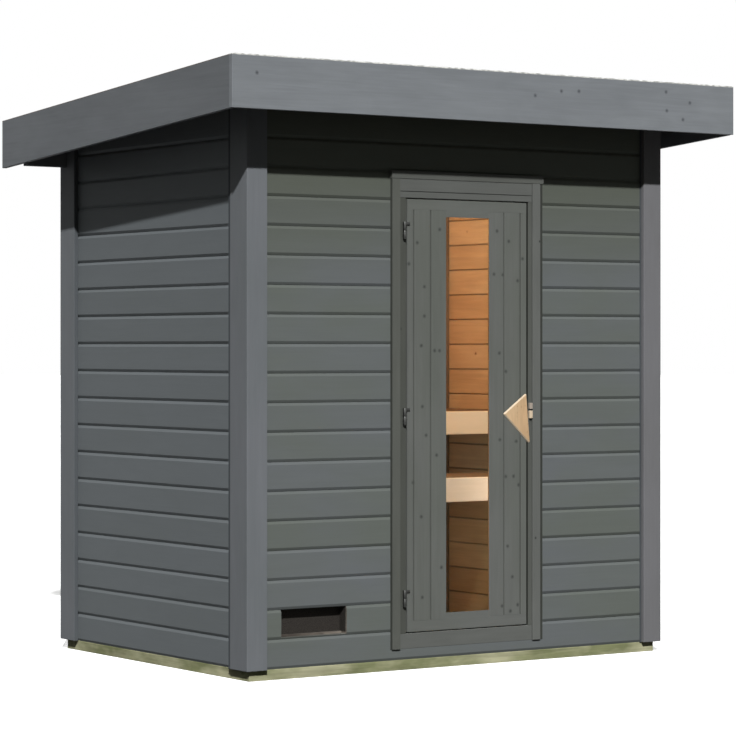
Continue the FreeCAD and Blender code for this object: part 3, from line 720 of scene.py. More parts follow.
    def make(self) -> Material:
        """Mix the finish.

        Returns:
            The material.
        """
        graph = Graph(self.name)
        place = graph.place()
        lines = self.pattern(graph, place, self.LINES, self.grain_width)
        figure = self.pattern(graph, place, self.FIGURE, self.grain_width * self.FIGURE_SIZE)
        share = graph.between(self.pattern(graph, place, self.PATCHES, self.patch_scale), *self.PATCH_SPAN)
        amount = graph.maths(
            "MULTIPLY", graph.between(lines, *self.LINE_SPAN, 1.0, 1.0 - self.grain_depth),
            graph.between(figure, *self.FIGURE_SPAN, 1.0 + self.grain_depth * self.FIGURE_LIFT,
                          1.0 - self.grain_depth * self.FIGURE_DROP))
        if self.cover > 0:
            random, joint = self.plank_tone(graph, place)
            pull = graph.maths("MULTIPLY", random, self.PLANK_PULL)
            share = graph.between(graph.maths("ADD", share, pull), *self.PLANK_SPAN)
            spread = graph.between(random, 0.0, 1.0, 1.0 - self.plank_spread, 1.0 + self.plank_spread)
            amount = graph.maths("MULTIPLY", amount, spread)
            # Painted shade: each plank darkens towards its joints.
            amount = graph.maths("MULTIPLY", amount, graph.between(joint, 0.0, 1.0, self.joint_tone, 1.0))
        colour = graph.blend(share, tint(*self.dark), tint(*self.light))
        # Painted shade: the planks darken towards the eaves.
        if self.crown:
            start, end, most = self.crown_span
            reach = graph.between(graph.parts(place)["Z"], start, end, 0.0, most)
            colour = graph.blend(reach, colour, tint(*self.crown))
        colour = graph.shade(colour, amount)
        height = lines
        if self.knots > 0:
            mask = self.knot_mask(graph, place)
            colour = graph.blend(mask, colour, tint(*self.knot_colour))
            height = graph.maths("SUBTRACT", lines, graph.maths("MULTIPLY", mask, self.KNOT_DENT))
        return graph.finish({"Base Color": colour, "Roughness": self.roughness,
                             "Specular IOR Level": self.sheen, "Normal": graph.bump(height, self.relief)})


@dataclass(frozen=True)
class Felt:
    """Dark roofing with stone granules.

    Attributes:
        name: The finish's name.
        light: The lighter tone, as a screen shows it.
        dark: The darker tone.
        granules: How fine the granules are.
        wear_scale: How fine the worn patches are.
        span: Where in both patterns the tone changes.
        wear: How much a worn patch changes the tone.
        roughness: How matt the surface is.
        sheen: How strong its reflections are.
        relief: How deep the granules are.
    """

    name: str = "roofing_felt"
    light: Colour = (78, 79, 80)
    dark: Colour = (44, 45, 47)
    granules: float = 420.0
    wear_scale: float = 3.0
    span: Span = (0.3, 0.7)
    wear: float = 0.2
    roughness: float = 0.92
    sheen: float = 0.2
    relief: float = 0.0012

    def make(self) -> Material:
        """Mix the finish.

        Returns:
            The material.
        """
        graph = Graph(self.name)
        place = graph.place()
        grit = graph.noise(place, self.granules, detail=2.0, rough=0.7)
        patches = graph.noise(place, self.wear_scale, detail=3.0)
        worn = graph.between(patches, *self.span, -self.wear, self.wear)
        share = graph.maths("ADD", graph.between(grit, *self.span), worn)
        return graph.finish({
            "Base Color": graph.blend(share, tint(*self.dark), tint(*self.light)),
            "Roughness": self.roughness, "Specular IOR Level": self.sheen,
            "Normal": graph.bump(grit, self.relief)})


@dataclass(frozen=True)
class FeltEdge:
    """The cut edge of the felt, in two tones; the white one at the front is a painted highlight.

    Attributes:
        name: The finish's name.
        light: The lighter tone, as a screen shows it.
        dark: The darker tone.
        dust_scale: How fine the pattern of the two tones is.
        span: Where in its pattern the tone changes.
        roughness: How matt the surface is.
        relief: How deep that pattern stands.
    """

    name: str = "felt_front_edge"
    # The white of the front edge is a painted highlight.
    light: Colour = (236, 236, 230)
    dark: Colour = (170, 172, 168)
    dust_scale: float = 46.0
    span: Span = (0.38, 0.62)
    roughness: float = 0.9
    relief: float = 0.0008

    def make(self) -> Material:
        """Mix the finish.

        Returns:
            The material.
        """
        graph = Graph(self.name)
        dust = graph.noise(graph.place(), self.dust_scale, detail=3.0, rough=0.6)
        colour = graph.blend(graph.between(dust, *self.span), tint(*self.dark), tint(*self.light))
        return graph.finish({"Base Color": colour, "Roughness": self.roughness,
                             "Normal": graph.bump(dust, self.relief)})


@dataclass(frozen=True)
class Zinc:
    """Plain zinc-plated steel.

    Attributes:
        name: The finish's name.
        colour: Its colour, as a screen shows it.
        cloud_scale: How fine its clouded patches are.
        span: Where in their pattern the surface changes.
        shades: How dark and how light the patches are.
        roughness: How matt the least and the most matt patches are.
        scratch_scale: How fine its scratches are.
        relief: How deep they are.
    """

    name: str = "zinc_plated_steel"
    colour: Colour = (86, 87, 85)
    cloud_scale: float = 60.0
    span: Span = (0.3, 0.7)
    shades: Span = (0.75, 1.0)
    roughness: Span = (0.32, 0.5)
    scratch_scale: float = 900.0
    relief: float = 0.00005

    def make(self) -> Material:
        """Mix the finish.

        Returns:
            The material.
        """
        graph = Graph(self.name)
        place = graph.place()
        cloud = graph.noise(place, self.cloud_scale, detail=3.0, rough=0.6)
        scratches = graph.noise(place, self.scratch_scale, detail=2.0)
        return graph.finish({
            "Base Color": graph.shade(tint(*self.colour), graph.between(cloud, *self.span, *self.shades)),
            "Roughness": graph.between(cloud, *self.span, *self.roughness), "Metallic": 1.0,
            "Normal": graph.bump(scratches, self.relief)})


@dataclass(frozen=True)
class Screen:
    """The dark woven mesh behind the air vent.

    Attributes:
        name: The finish's name.
        light: The tone of a wire's top, as a screen shows it.
        dark: The tone between the wires.
        pitch: How far apart the wires are.
        wire: Where in the weave dark turns to light.
        dust_scale: How fine the dust on the wires lies.
        dust_span: Where in its pattern the tone changes.
        dust: How light the wires are where little dust lies, and where much does.
        roughness: How matt the surface is.
        sheen: How strong its reflections are.
        relief: How far the wires stand up.
    """

    name: str = "vent_mesh"
    light: Colour = (72, 67, 62)
    dark: Colour = (28, 26, 24)
    pitch: float = 0.0024
    wire: Span = (-0.2, 1.0)
    dust_scale: float = 260.0
    dust_span: Span = (0.35, 0.65)
    dust: Span = (0.25, 1.2)
    roughness: float = 0.8
    sheen: float = 0.2
    relief: float = 0.0003

    def make(self) -> Material:
        """Mix the finish: wires that cross, and a little dust on them.

        Returns:
            The material.
        """
        graph = Graph(self.name)
        place = graph.place()
        parts = graph.parts(place)
        across, up = (graph.maths("SINE", graph.maths("MULTIPLY", parts[name], 2 * math.pi / self.pitch))
                      for name in ("X", "Z"))
        weave = graph.maths("MAXIMUM", across, up)
        dust = graph.noise(place, self.dust_scale, detail=3.0, rough=0.7)
        share = graph.maths("MULTIPLY", graph.between(weave, *self.wire),
                            graph.between(dust, *self.dust_span, *self.dust))
        return graph.finish({
            "Base Color": graph.blend(share, tint(*self.dark), tint(*self.light)),
            "Roughness": self.roughness, "Specular IOR Level": self.sheen,
            "Normal": graph.bump(weave, self.relief)})


@dataclass(frozen=True)
class Pane:
    """Clear glass that light passes straight through.

    Attributes:
        name: The finish's name.
        colour: The linear colour of its thin veil.
        cover: How much the veil hides.
        bend: How much the glass bends light.
        smear_scale: How fine the smears in its gloss are.
        smear_height: How fine they are upwards, as a share of that.
        smear_span: Where in their pattern the gloss changes.
        roughness: How matt the clean and the smeared glass is.
    """

    name: str = "clear_pane"
    colour: Colour = (0.02, 0.022, 0.02)
    cover: float = 0.09
    bend: float = 1.5
    smear_scale: float = 5.0
    smear_height: float = 0.3
    smear_span: Span = (0.35, 0.7)
    roughness: Span = (0.01, 0.06)

    def make(self) -> Material:
        """Mix the finish: a thin dark veil, with a smear or two in its gloss.

        Returns:
            The material.
        """
        graph = Graph(self.name)
        place = graph.scaled(graph.place(), (1.0, 1.0, self.smear_height))
        smear = graph.noise(place, self.smear_scale, detail=2.0)
        graph.material.use_transparent_shadow = False
        return graph.finish({
            "Base Color": self.colour, "Alpha": self.cover, "IOR": self.bend,
            "Roughness": graph.between(smear, *self.smear_span, *self.roughness)})


@dataclass(frozen=True)
class Ground:
    """The pale studio floor: white to the camera, dimmer in reflections, dark in the light it throws up.

    Attributes:
        name: The finish's name.
        seen: How pale it is to the camera.
        thrown: How pale it is in the light that it throws up.
        mirrored: How much of the difference shows in reflections.
        lift: How much it glows to the camera, so that the cabin's shadow on it stays faint.
    """

    name: str = "studio_floor"
    seen: float = 0.98
    thrown: float = 0.06
    mirrored: float = 0.4
    lift: float = 0.45

    def make(self) -> Material:
        """Mix the finish.

        Returns:
            The material.
        """
        graph = Graph(self.name)
        path = graph.add("ShaderNodeLightPath").outputs
        direct = graph.maths("MAXIMUM", path["Is Camera Ray"], path["Is Transmission Ray"])
        share = graph.maths("MAXIMUM", direct, graph.maths("MULTIPLY", path["Is Glossy Ray"], self.mirrored))
        return graph.finish({
            "Base Color": graph.blend(share, (self.thrown,) * 3, (self.seen,) * 3),
            "Emission Color": (1.0, 1.0, 1.0), "Roughness": 1.0, "Specular IOR Level": 0.0,
            "Emission Strength": graph.maths("MULTIPLY", direct, self.lift)})


Finish = Timber | Felt | FeltEdge | Zinc | Screen | Pane


class Tone(Enum):
    """The lighter and the darker tone of the grey paint on each board of the door and round it."""

    LEAF = ((105, 107, 104), (100, 103, 98))
    # The hinge jamb is painted darker, a painted shadow of the trim.
    HINGE_JAMB = ((80, 82, 77), (75, 77, 72))
    LATCH_JAMB = ((92, 94, 90), (88, 90, 86))
    HEAD = ((101, 103, 100), (95, 97, 94))
    # The cap is painted darker, a painted shade.
    CAP = ((92, 94, 90), (86, 88, 84))
    HINGE_TRIM = ((93, 95, 90), (88, 90, 85))
    LATCH_TRIM = ((106, 108, 105), (101, 103, 100))


class Coat(Enum):
    """The finishes that look the same wherever they are used.

    SHADOW_GAP is a painted shade: dark paint in the narrow gaps round the door, on the outer edge of the
    hinge-side trim and on the strips beside the trim. LIGHT_GAP is a painted light: a pale paint in the gaps
    over and under the leaf. CORNER_JOINT is a painted shadow of the posts on the fillers beside them, and
    POST_EDGE a painted shade on the narrow edge of the left post at the back. BOARD_JOINT is a painted shade
    on the faces of the grooves between the leaf's boards. REVEAL is the bare wood round the pane, and
    DARK_REVEAL a darker copy of it, a painted shade, over the pane and on the batten in the room's corner.
    RAW_EDGE is the sawn edge of the vent's opening, SEAT the wood of the seats, darker than the bench fronts,
    GRIP the oiled wood of the handle, GRIP_EDGE a paler wood, a painted highlight on the handle's sloped
    edges and the lower catch block's own colour, and WEATHERED the greyed upper catch block. FRONT_EDGE and
    SIDE_EDGE are edges of the felt, and the white of FRONT_EDGE is a painted highlight.
    """

    # Painted shade in the gaps round the door, on the trim's outer edge and on the strips beside it.
    SHADOW_GAP = Timber("painted_shade_rebate", (66, 68, 64), (60, 62, 58), Axis.UP,
                        roughness=0.85, sheen=0.1)
    # Painted light: a pale paint that lifts the shade in the gaps over and under the leaf.
    LIGHT_GAP = Timber("painted_light_rebate", (168, 170, 165), (158, 160, 155), Axis.ACROSS,
                       roughness=0.85, sheen=0.1)
    # Painted shadow of the posts, on the fillers beside them.
    CORNER_JOINT = Timber("painted_shade_corner_joint", (80, 84, 87), (74, 78, 81), Axis.UP,
                          roughness=0.85, sheen=0.1)
    # Painted shade on the forward-facing edge of the left post at the back.
    POST_EDGE = Timber("painted_shade_post_edge", (87, 91, 94), (83, 87, 90), Axis.UP,
                       grain_depth=0.06, roughness=0.6)
    # Painted shade on the faces of the grooves between the leaf's boards.
    BOARD_JOINT = Timber("painted_shade_board_joint", (76, 78, 74), (70, 72, 68), Axis.UP,
                         roughness=0.75, sheen=0.15)
    REVEAL = Timber("bare_reveal", (190, 150, 104), (172, 132, 88), Axis.UP,
                    grain_depth=0.15, roughness=0.6)
    # A darker copy of the bare reveal: painted shade over the pane and in the room's corner.
    DARK_REVEAL = Timber("bare_reveal_painted_shade", (140, 108, 76), (126, 96, 66), Axis.UP,
                         grain_depth=0.15, roughness=0.7)
    RAW_EDGE = Timber("sawn_vent_edge", (146, 138, 128), (84, 78, 72), Axis.ACROSS,
                      grain_depth=0.55, grain_width=260.0, roughness=0.85, relief=0.001)
    # The seats' wood is darker than the bench fronts'.
    SEAT = Timber("dark_seat_slats", (140, 106, 74), (122, 90, 60), Axis.ACROSS,
                  grain_depth=0.2, grain_width=80.0, roughness=0.6)
    GRIP = Timber("oiled_handle", (222, 191, 152), (204, 169, 130), Axis.UP,
                  grain_depth=0.18, grain_width=150.0, knots=60.0, knot_radius=0.0042,
                  knot_colour=(180, 142, 106), roughness=0.5, sheen=0.2)
    # A paler wood: a painted highlight on the handle's sloped edges, and the lower catch block's own colour.
    GRIP_EDGE = Timber("sanded_handle_edge", (228, 210, 184), (214, 192, 164), Axis.UP,
                       grain_depth=0.08, grain_width=150.0, roughness=0.55, sheen=0.3)
    WEATHERED = Timber("weathered_block", (186, 174, 162), (168, 156, 144), Axis.UP,
                       grain_depth=0.12, grain_width=150.0, roughness=0.7)
    FELT = Felt()
    # Its white is a painted highlight along the front fascia.
    FRONT_EDGE = FeltEdge()
    SIDE_EDGE = FeltEdge("felt_side_edge", (120, 106, 92), (84, 76, 68))
    STEEL = Zinc()
    BRIGHT_NAIL = Zinc("bright_nail", (236, 236, 232))
    MESH = Screen()
    GLASS = Pane()


@dataclass
class Finishes:
    """The finishes of the cabin, each mixed once.

    Attributes:
        made: The materials that were mixed before, by name.
    """

    made: dict[str, Material] = field(default_factory=dict)

    def of(self, finish: Finish) -> Material:
        """Mix a finish, or hand out the one that was mixed before.

        Args:
            finish: The finish.

        Returns:
            Its material.
        """
        if finish.name not in self.made:
            self.made[finish.name] = finish.make()
        return self.made[finish.name]

    def coat(self, coat: Coat) -> Material:
        """One of the finishes that look the same wherever they are used."""
        return self.of(coat.value)

    def planks(self, grain: Axis) -> Material:
        """Paint for the planks of a wall: a greenish and a bluish grey that run into each other.

        Args:
            grain: The direction of the planks.

        Returns:
            The material.
        """
        # The third tone is the painted shade that the planks take on towards the eaves.
        light, dark, crown = ((103, 107, 109), (100, 105, 100), (88, 92, 83))
        # The side walls' paint is lighter than the front's, a painted light.
        if grain is Axis.DEEP:
            light, dark, crown = ((108, 113, 116), (106, 111, 113), (101, 106, 109))
        return self.of(Timber(
            f"grey_planks_{grain.name.lower()}", light, dark, grain, grain_depth=0.04, through=grain.aside,
            cover=COVER, plank_spread=0.012, crown=crown, roughness=0.6))

    def post(self, warm: bool = False) -> Material:
        """Paint for the corner posts, which one of them shows a little warmer and lighter.

        Args:
            warm: Whether it is for that post.

        Returns:
            The material.
        """
        light, dark = ((114, 117, 121), (109, 113, 116))
        if warm:
            light, dark = ((118, 118, 121), (114, 114, 116))
        return self.of(Timber(
            "warm_grey_post" if warm else "grey_posts", light, dark, Axis.UP, grain_depth=0.06,
            grain_width=90.0, knots=6.0, knot_radius=0.004, knot_colour=(80, 84, 88), roughness=0.6))

    def fascia(self, grain: Axis, shade: float = 1.0, marks: Places = ()) -> Material:
        """Paint for the roof's edge boards, which show their grain.

        Args:
            grain: The direction of the board.
            shade: How light the paint is, as a share of the front board's; below 1 it is a painted shade.
            marks: Where single knots lie.

        Returns:
            The material.
        """
        light, dark, knot = ((shade * red, shade * green, shade * blue) for red, green, blue in (
            (132, 136, 140), (126, 130, 134), (70, 72, 76)))
        return self.of(Timber(
            f"grey_fascia_{grain.name.lower()}_{len(marks)}", light, dark, grain, grain_depth=0.12,
            grain_width=75.0, knots=2.2, knot_radius=0.005, knot_colour=knot, through=grain.aside,
            marks=marks, roughness=0.58))

    def joinery(self, grain: Axis, tone: Tone = Tone.LEAF, marks: Places = ()) -> Material:
        """Paint for the door, its frame and its trim, with small knots that show through.

        Args:
            grain: The direction of the board.
            tone: The paint's tone.
            marks: Where single knots lie.

        Returns:
            The material.
        """
        return self.of(Timber(
            f"grey_{tone.name.lower()}_{grain.name.lower()}", *tone.value, grain, grain_depth=0.09, knots=9.0,
            knot_radius=0.0058, knot_colour=(58, 60, 58), marks=marks, roughness=0.55))

    def treated(self, grain: Axis) -> Material:
        """Pressure-treated base timber."""
        return self.of(Timber(
            f"treated_base_{grain.name.lower()}", (190, 188, 154), (138, 142, 104), grain,
            grain_depth=0.34, grain_width=60.0, knots=5.0, knot_radius=0.014, knot_colour=(112, 92, 66),
            patch_scale=7.0, roughness=0.8, relief=0.0006))

    def bare(self, grain: Axis) -> Material:
        """Unpainted planks inside."""
        # The bare planks darken strongly beside each joint, a painted shade.
        return self.of(Timber(
            f"bare_planks_{grain.name.lower()}", (226, 184, 134), (212, 164, 112), grain,
            grain_depth=0.16, knots=7.0, knot_radius=0.009, knot_colour=(140, 92, 54),
            through=grain.aside, cover=COVER, plank_spread=0.05, joint_tone=0.5, joint_reach=0.055,
            roughness=0.6))

    def pale(self, grain: Axis) -> Material:
        """Smooth pale wood of the benches."""
        return self.of(Timber(
            f"pale_wood_{grain.name.lower()}", (238, 214, 182), (232, 204, 168), grain,
            grain_depth=0.06, grain_width=80.0, roughness=0.55))


@dataclass
class Cabin:
    """What every sub-assembly of the cabin shares.

    Attributes:
        finishes: The finishes of the cabin.
    """

    frame: dict
    finishes: Finishes

    def low(self, node: str) -> Vector:
        """The lowest corner of one of the cabin's solids."""
        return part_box(node)[0]

    def high(self, node: str) -> Vector:
        """The highest corner of one of the cabin's solids."""
        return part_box(node)[1]

    def points(self, node: str) -> list[Vector]:
        """The places of the corners of one of the cabin's solids."""
        return [vertex.co for vertex in self.frame["nodes"][node].data.vertices]

    def dress(self, piece: Piece, material: Material, slot: Slot, nodes: Sequence[str] = (),
              body: Body = Body.CABIN) -> Piece:
        """Give a piece its finish, let it ride on its body, and hide the solids that it stands for.

        Args:
            piece: The piece.
            material: Its finish, unless it was painted before.
            slot: The record's name for the finish; not used.
            nodes: The solids that it stands for.
            body: The body that it moves with.

        Returns:
            The piece.
        """
        if not piece.data.materials:
            piece.data.materials.append(material)
        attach(piece, body.value)
        if nodes:
            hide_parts(*nodes)
        LOG.info("made %s with %d faces", piece.name, len(piece.data.polygons))
        return piece

    def timber(self, node: str, name: str, material: Material, slot: Slot, ease: float,
               body: Body = Body.CABIN) -> Piece:
        """Plane one of the cabin's solids into a finished timber with eased edges.

        Args:
            node: The solid's name.
            name: The piece's name.
            material: Its finish.
            slot: The record's name for the finish.
            ease: How much comes off each edge.
            body: The body that it moves with.

        Returns:
            The piece.
        """
        return self.dress(Bench.from_solid(self.frame, node, name, ease), material, slot, (node,), body)

    def recoat(self, piece: Piece, coat: Coat | Material,
               test: Callable[[Vector, Vector, float], bool]) -> None:
        """Give some faces of a piece another finish.

        Args:
            piece: The piece.
            coat: The other finish.
            test: Takes a face's centre, its normal and its width, and says whether the face gets it.
        """
        piece.data.materials.append(self.finishes.coat(coat) if isinstance(coat, Coat) else coat)
        index = len(piece.data.materials) - 1
        points = piece.data.vertices
        for face in piece.data.polygons:
            corners = [points[number].co for number in face.vertices]
            span = max((first - second).length for first in corners for second in corners)
            if test(face.center, face.normal, face.area / span):
                face.material_index = index


@dataclass
class PlankWalls(Cabin):
    """The four walls of tongue-and-groove planks.

    Attributes:
        vent_rim_width: How far the rim behind the air vent reaches beyond its opening.
        vent_drop: How much lower the opening's foot is than the rim's, so that the rim's edge shows.
        seat: The gap between the shoulders of two planks.
        tongue: How far the tongue stands up.
        tongue_width: How wide the tongue is.
        slope_height: How high the sloped edges outside are.
        slope_depth: How deep the sloped edges outside are.
        inner_chamfer: The sloped edge inside.
        long_edge: The length from which an edge counts as one that runs along the plank.
        ease: How much comes off every sharp edge.
        ease_angle: How sharp an edge is at least to be eased, in degrees.
        spare: How far a cutting tool stands out of the wall.
        tool_height: How far the doorway's tool stands up over the sill.
    """

    vent_rim_width: float = 0.022
    vent_drop: float = 0.008
    seat: float = 0.0008
    tongue: float = 0.007
    tongue_width: float = 0.012
    slope_height: float = 0.0105
    slope_depth: float = 0.0055
    inner_chamfer: float = 0.004
    long_edge: float = 0.1
    ease: float = 0.0007
    ease_angle: float = 25.0
    spare: float = 0.05
    tool_height: float = 1.0

    def plank(self, name: str, side: Side, low: Vector, high: Vector) -> Piece:
        """Plane one plank with a tongue on top, a groove below and sloped edges.

        Args:
            name: The plank's name.
            side: The wall that it is for.
            low: Its lowest corner.
            high: The highest corner of its wall.

        Returns:
            The plank.
        """
        thin = side.thin_axis
        top = low.z + COVER - self.seat
        piece = Bench.block(name, low, (high.x, high.y, top))
        middle = (low + high) / 2
        across = Vector((0.0, 0.0, 0.0))
        across[thin] = 1.0
        for sign in (-1, 1):
            Bench.split(piece, middle + across * (sign * self.tongue_width / 2), across)
        for turn, level in ((1, top), (-1, low.z)):
            Bench.pick(piece, Part.FACE, lambda centre, normal: (
                abs(centre[thin] - middle[thin]) < self.tongue_width / 2 and normal.z * turn > FACING
                and abs(centre.z - level) < MILLIMETRE))
            bpy.ops.mesh.extrude_region_move(TRANSFORM_OT_translate={"value": (0.0, 0.0, self.tongue)})
            Bench.done()
        outer, inner = (high[thin], low[thin]) if side.outward > 0 else (low[thin], high[thin])
        for turn, level in ((1, top), (-1, low.z)):
            point, normal = Vector((0.0, 0.0, level)), Vector((0.0, 0.0, turn * self.slope_depth))
            point[thin] = outer - side.outward * self.slope_depth
            normal[thin] = side.outward * self.slope_height
            Bench.split(piece, point, normal.normalized(), keep_below=True)
        Bench.pick(piece, Part.EDGE, lambda first, second: (
            max(abs(first[thin] - inner), abs(second[thin] - inner)) < MILLIMETRE / 10
            and abs(first[1 - thin] - second[1 - thin]) > self.long_edge))
        bpy.ops.mesh.bevel(offset=self.inner_chamfer * math.sqrt(2), offset_type="WIDTH", segments=1,
                           affect="EDGES")
        Bench.done()
        Bench.ease(piece, self.ease, angle=self.ease_angle)
        return piece

    def courses(self, name: str, side: Side, low: Vector, high: Vector) -> Piece:
        """Stack planks up to a height.

        Args:
            name: The stack's name.
            side: The wall that it is for.
            low: Its lowest corner.
            high: The highest corner of its wall.

        Returns:
            The stack.
        """
        wall = self.plank(name, side, low, high)
        Bench.repeat(wall, math.ceil((high.z - low.z) / COVER - MILLIMETRE), (0.0, 0.0, COVER))
        return wall

    def finish(self, wall: Piece, side: Side, low: Vector, high: Vector, nodes: Sequence[str]) -> None:
        """Paint the outside of a wall, leave its inside bare, and set it on its body.

        Args:
            wall: The wall.
            side: The side that it is on.
            low: Its lowest corner.
            high: Its highest corner.
            nodes: The solids that it stands for.
        """
        grain = Axis.ACROSS if side in (Side.FRONT, Side.BACK) else Axis.DEEP
        paint = self.finishes.planks(grain)
        wall.data.materials.append(paint)
        wall.data.materials.append(self.finishes.bare(grain))
        thin = side.thin_axis
        middle = (low[thin] + high[thin]) / 2
        for face in wall.data.polygons:
            outside = (face.center[thin] - middle) * side.outward > -self.tongue_width / 2
            face.material_index = 0 if outside else 1
        self.dress(wall, paint, Slot.WALLS, nodes)

    def front(self) -> None:
        """Stack the front wall: whole planks below and over the doorway, short ones at both sides of it."""
        side = Side.FRONT
        foot, far = self.low("front_wall_bottom"), self.high("front_wall_head")
        head = self.low("front_wall_head")
        left, right = self.high("front_wall_left"), self.low("front_wall_right")
        front, back = foot.y - self.spare, far.y + self.spare
        second, third = foot.z + COVER, foot.z + 2 * COVER
        sill_low, sill_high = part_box("door_frame_sill")
        bottom = self.plank("bottom_plank", side, foot, far)
        Bench.cut(bottom, Bench.block("doorway_tool", (sill_low.x, front, sill_low.z),
                                      (sill_high.x, back, sill_high.z + self.tool_height)))
        vented = self.plank("vented_plank", side, Vector((foot.x, foot.y, second)),
                            Vector((left.x, far.y, far.z)))
        screen_low, screen_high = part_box("vent_screen")
        rim = self.vent_rim_width
        low_x, high_x, low_z = screen_low.x + rim, screen_high.x - rim, screen_low.z + rim - self.vent_drop
        Bench.cut(vented, Bench.block("vent_tool", (low_x, front, low_z), (high_x, back, third + self.spare)))
        wall = Bench.join("front_planks", [
            bottom, vented,
            self.courses("left_planks", side, Vector((foot.x, foot.y, third)),
                         Vector((left.x, far.y, head.z))),
            self.courses("right_planks", side, Vector((right.x, foot.y, second)),
                         Vector((far.x, far.y, head.z))),
            self.courses("head_planks", side, head, far),
        ])
        self.finish(wall, side, foot, far, (
            "front_wall_bottom", "vent_board", "front_wall_left", "front_wall_right", "front_wall_head"))
        self.recoat(wall, Coat.RAW_EDGE, lambda centre, normal, width: (
            low_x - MILLIMETRE < centre.x < high_x + MILLIMETRE
            and low_z - MILLIMETRE < centre.z < third - WELD and abs(normal.y) < ASIDE))

    def sides(self) -> None:
        """Stack the side walls, and cut their tops to the roof's slope."""
        for side, node in ((Side.LEFT, "left_wall"), (Side.RIGHT, "right_wall")):
            low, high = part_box(node)
            wall = self.courses(f"{side.name.lower()}_planks", side, low, high)
            back_top = max(point.z for point in self.points(node) if point.y > high.y - MILLIMETRE)
            fall = (high.z - back_top) / (high.y - low.y)
            Bench.split(wall, Vector((low.x, low.y, high.z)), (UPWARD + BACKWARD * fall).normalized(), True)
            self.finish(wall, side, low, high, (node,))

    def back(self) -> None:
        """Stack the back wall."""
        low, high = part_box("back_wall")
        wall = self.courses("back_planks", Side.BACK, low, high)
        Bench.split(wall, high, UPWARD, keep_below=True)
        self.finish(wall, Side.BACK, low, high, ("back_wall",))

    def build(self) -> None:
        """Build all four walls."""
        self.front()
        self.sides()
        self.back()


@dataclass
class GroundFrame(Cabin):
    """The base timbers, the joists and the floor.

    Attributes:
        ease: How much comes off each edge of a timber.
    """

    ease: float = 0.0015

    def build(self) -> None:
        """Plane the base timbers and the floor."""
        for node, name, grain in (
            ("base_front_and_back", "base_timbers_long", Axis.ACROSS),
            ("base_sides", "base_timbers_short", Axis.DEEP),
            ("floor_joists", "floor_joist_timbers", Axis.DEEP),
        ):
            self.timber(node, name, self.finishes.treated(grain), Slot.TREATED, self.ease)
        self.timber("floor", "floor_boards", self.finishes.bare(Axis.ACROSS), Slot.PLAIN, 0.0)


@dataclass
class CornerPosts(Cabin):
    """The four corner posts, and the dark fillers beside them, a painted shadow of the posts.

    Attributes:
        ease: How much comes off each edge.
        bead_depth: How thick the filler on a side wall is, a little less than the post.
        bead_width: How wide it is.
        strip_depth: How thick the filler strip on the front wall is.
        strip_width: How wide it is.
        corner_width: How wide the batten in the room's corner is.
        corner_depth: How thick it is.
    """

    ease: float = 0.002
    bead_depth: float = 0.015
    bead_width: float = 0.018
    strip_depth: float = 0.0015
    strip_width: float = 0.008
    corner_width: float = 0.020
    corner_depth: float = 0.010

    def battens(self, name: str, spans: Iterable[tuple[Sequence[float], Sequence[float]]],
                ease: float) -> Piece:
        """Saw a few battens with eased edges, as one piece.

        Args:
            name: The piece's name.
            spans: The lowest and the highest corner of each batten.
            ease: How much comes off each edge.

        Returns:
            The piece.
        """
        pieces = []
        for low, high in spans:
            piece = Bench.block(name, low, high)
            Bench.ease(piece, ease)
            pieces.append(piece)
        return Bench.join(name, pieces)

    def fillers(self) -> None:
        """Press dark fillers between the front posts and the planks, a painted shadow of the posts."""
        post_low, post_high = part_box("post_front_left")
        right_post = self.low("post_front_right").x
        left, right = self.low("left_wall").x, self.high("right_wall").x
        foot, top = post_low.z, post_high.z - self.corner_width
        near, far = post_high.y, post_high.y + self.bead_width
        face, head = self.low("front_wall_head").y, self.high("front_wall_head").z
        piece = self.battens("post_painted_shade_fillers", (
            ((left - self.bead_depth, near, foot), (left, far, top)),
            ((right, near, foot), (right + self.bead_depth, far, top)),
            ((right_post - self.strip_width, face - self.strip_depth, foot), (right_post, face, head)),
        ), self.strip_depth / 3)
        # The fillers' dark paint is a painted shadow of the posts.
        self.dress(piece, self.finishes.coat(Coat.CORNER_JOINT), Slot.POSTS)

    def corner_batten(self) -> None:
        """Nail a batten into the room's corner that shows through the pane, over and under the benches."""
        side, back = self.low("right_wall").x, self.low("back_wall").y
        heights = ((self.high("floor").z, self.low("upper_bench_front").z),
                   (self.high("upper_bench_slats").z, self.high("back_wall").z - self.corner_width))
        piece = self.battens("room_corner_batten", (
            ((side - self.corner_width, back - self.corner_depth, foot), (side, back, head))
            for foot, head in heights), self.ease)
        # The batten's darker bare wood is a painted shade in the room's corner.
        self.dress(piece, self.finishes.coat(Coat.DARK_REVEAL), Slot.PLAIN)

    def build(self) -> None:
        """Plane each post, and fill the joints."""
        near = self.low("post_back_left").y + MILLIMETRE
        for corner in ("front_left", "front_right", "back_left", "back_right"):
            post = self.timber(f"post_{corner}", f"corner_post_{corner}",
                               self.finishes.post(corner == "front_right"), Slot.POSTS, self.ease)
            if corner == "back_left":
                # The post's edge that faces forward gets painted shade.
                self.recoat(post, Coat.POST_EDGE, lambda centre, normal, width: (
                    normal.y < -FACING and centre.y < near))
        self.fillers()
        self.corner_batten()


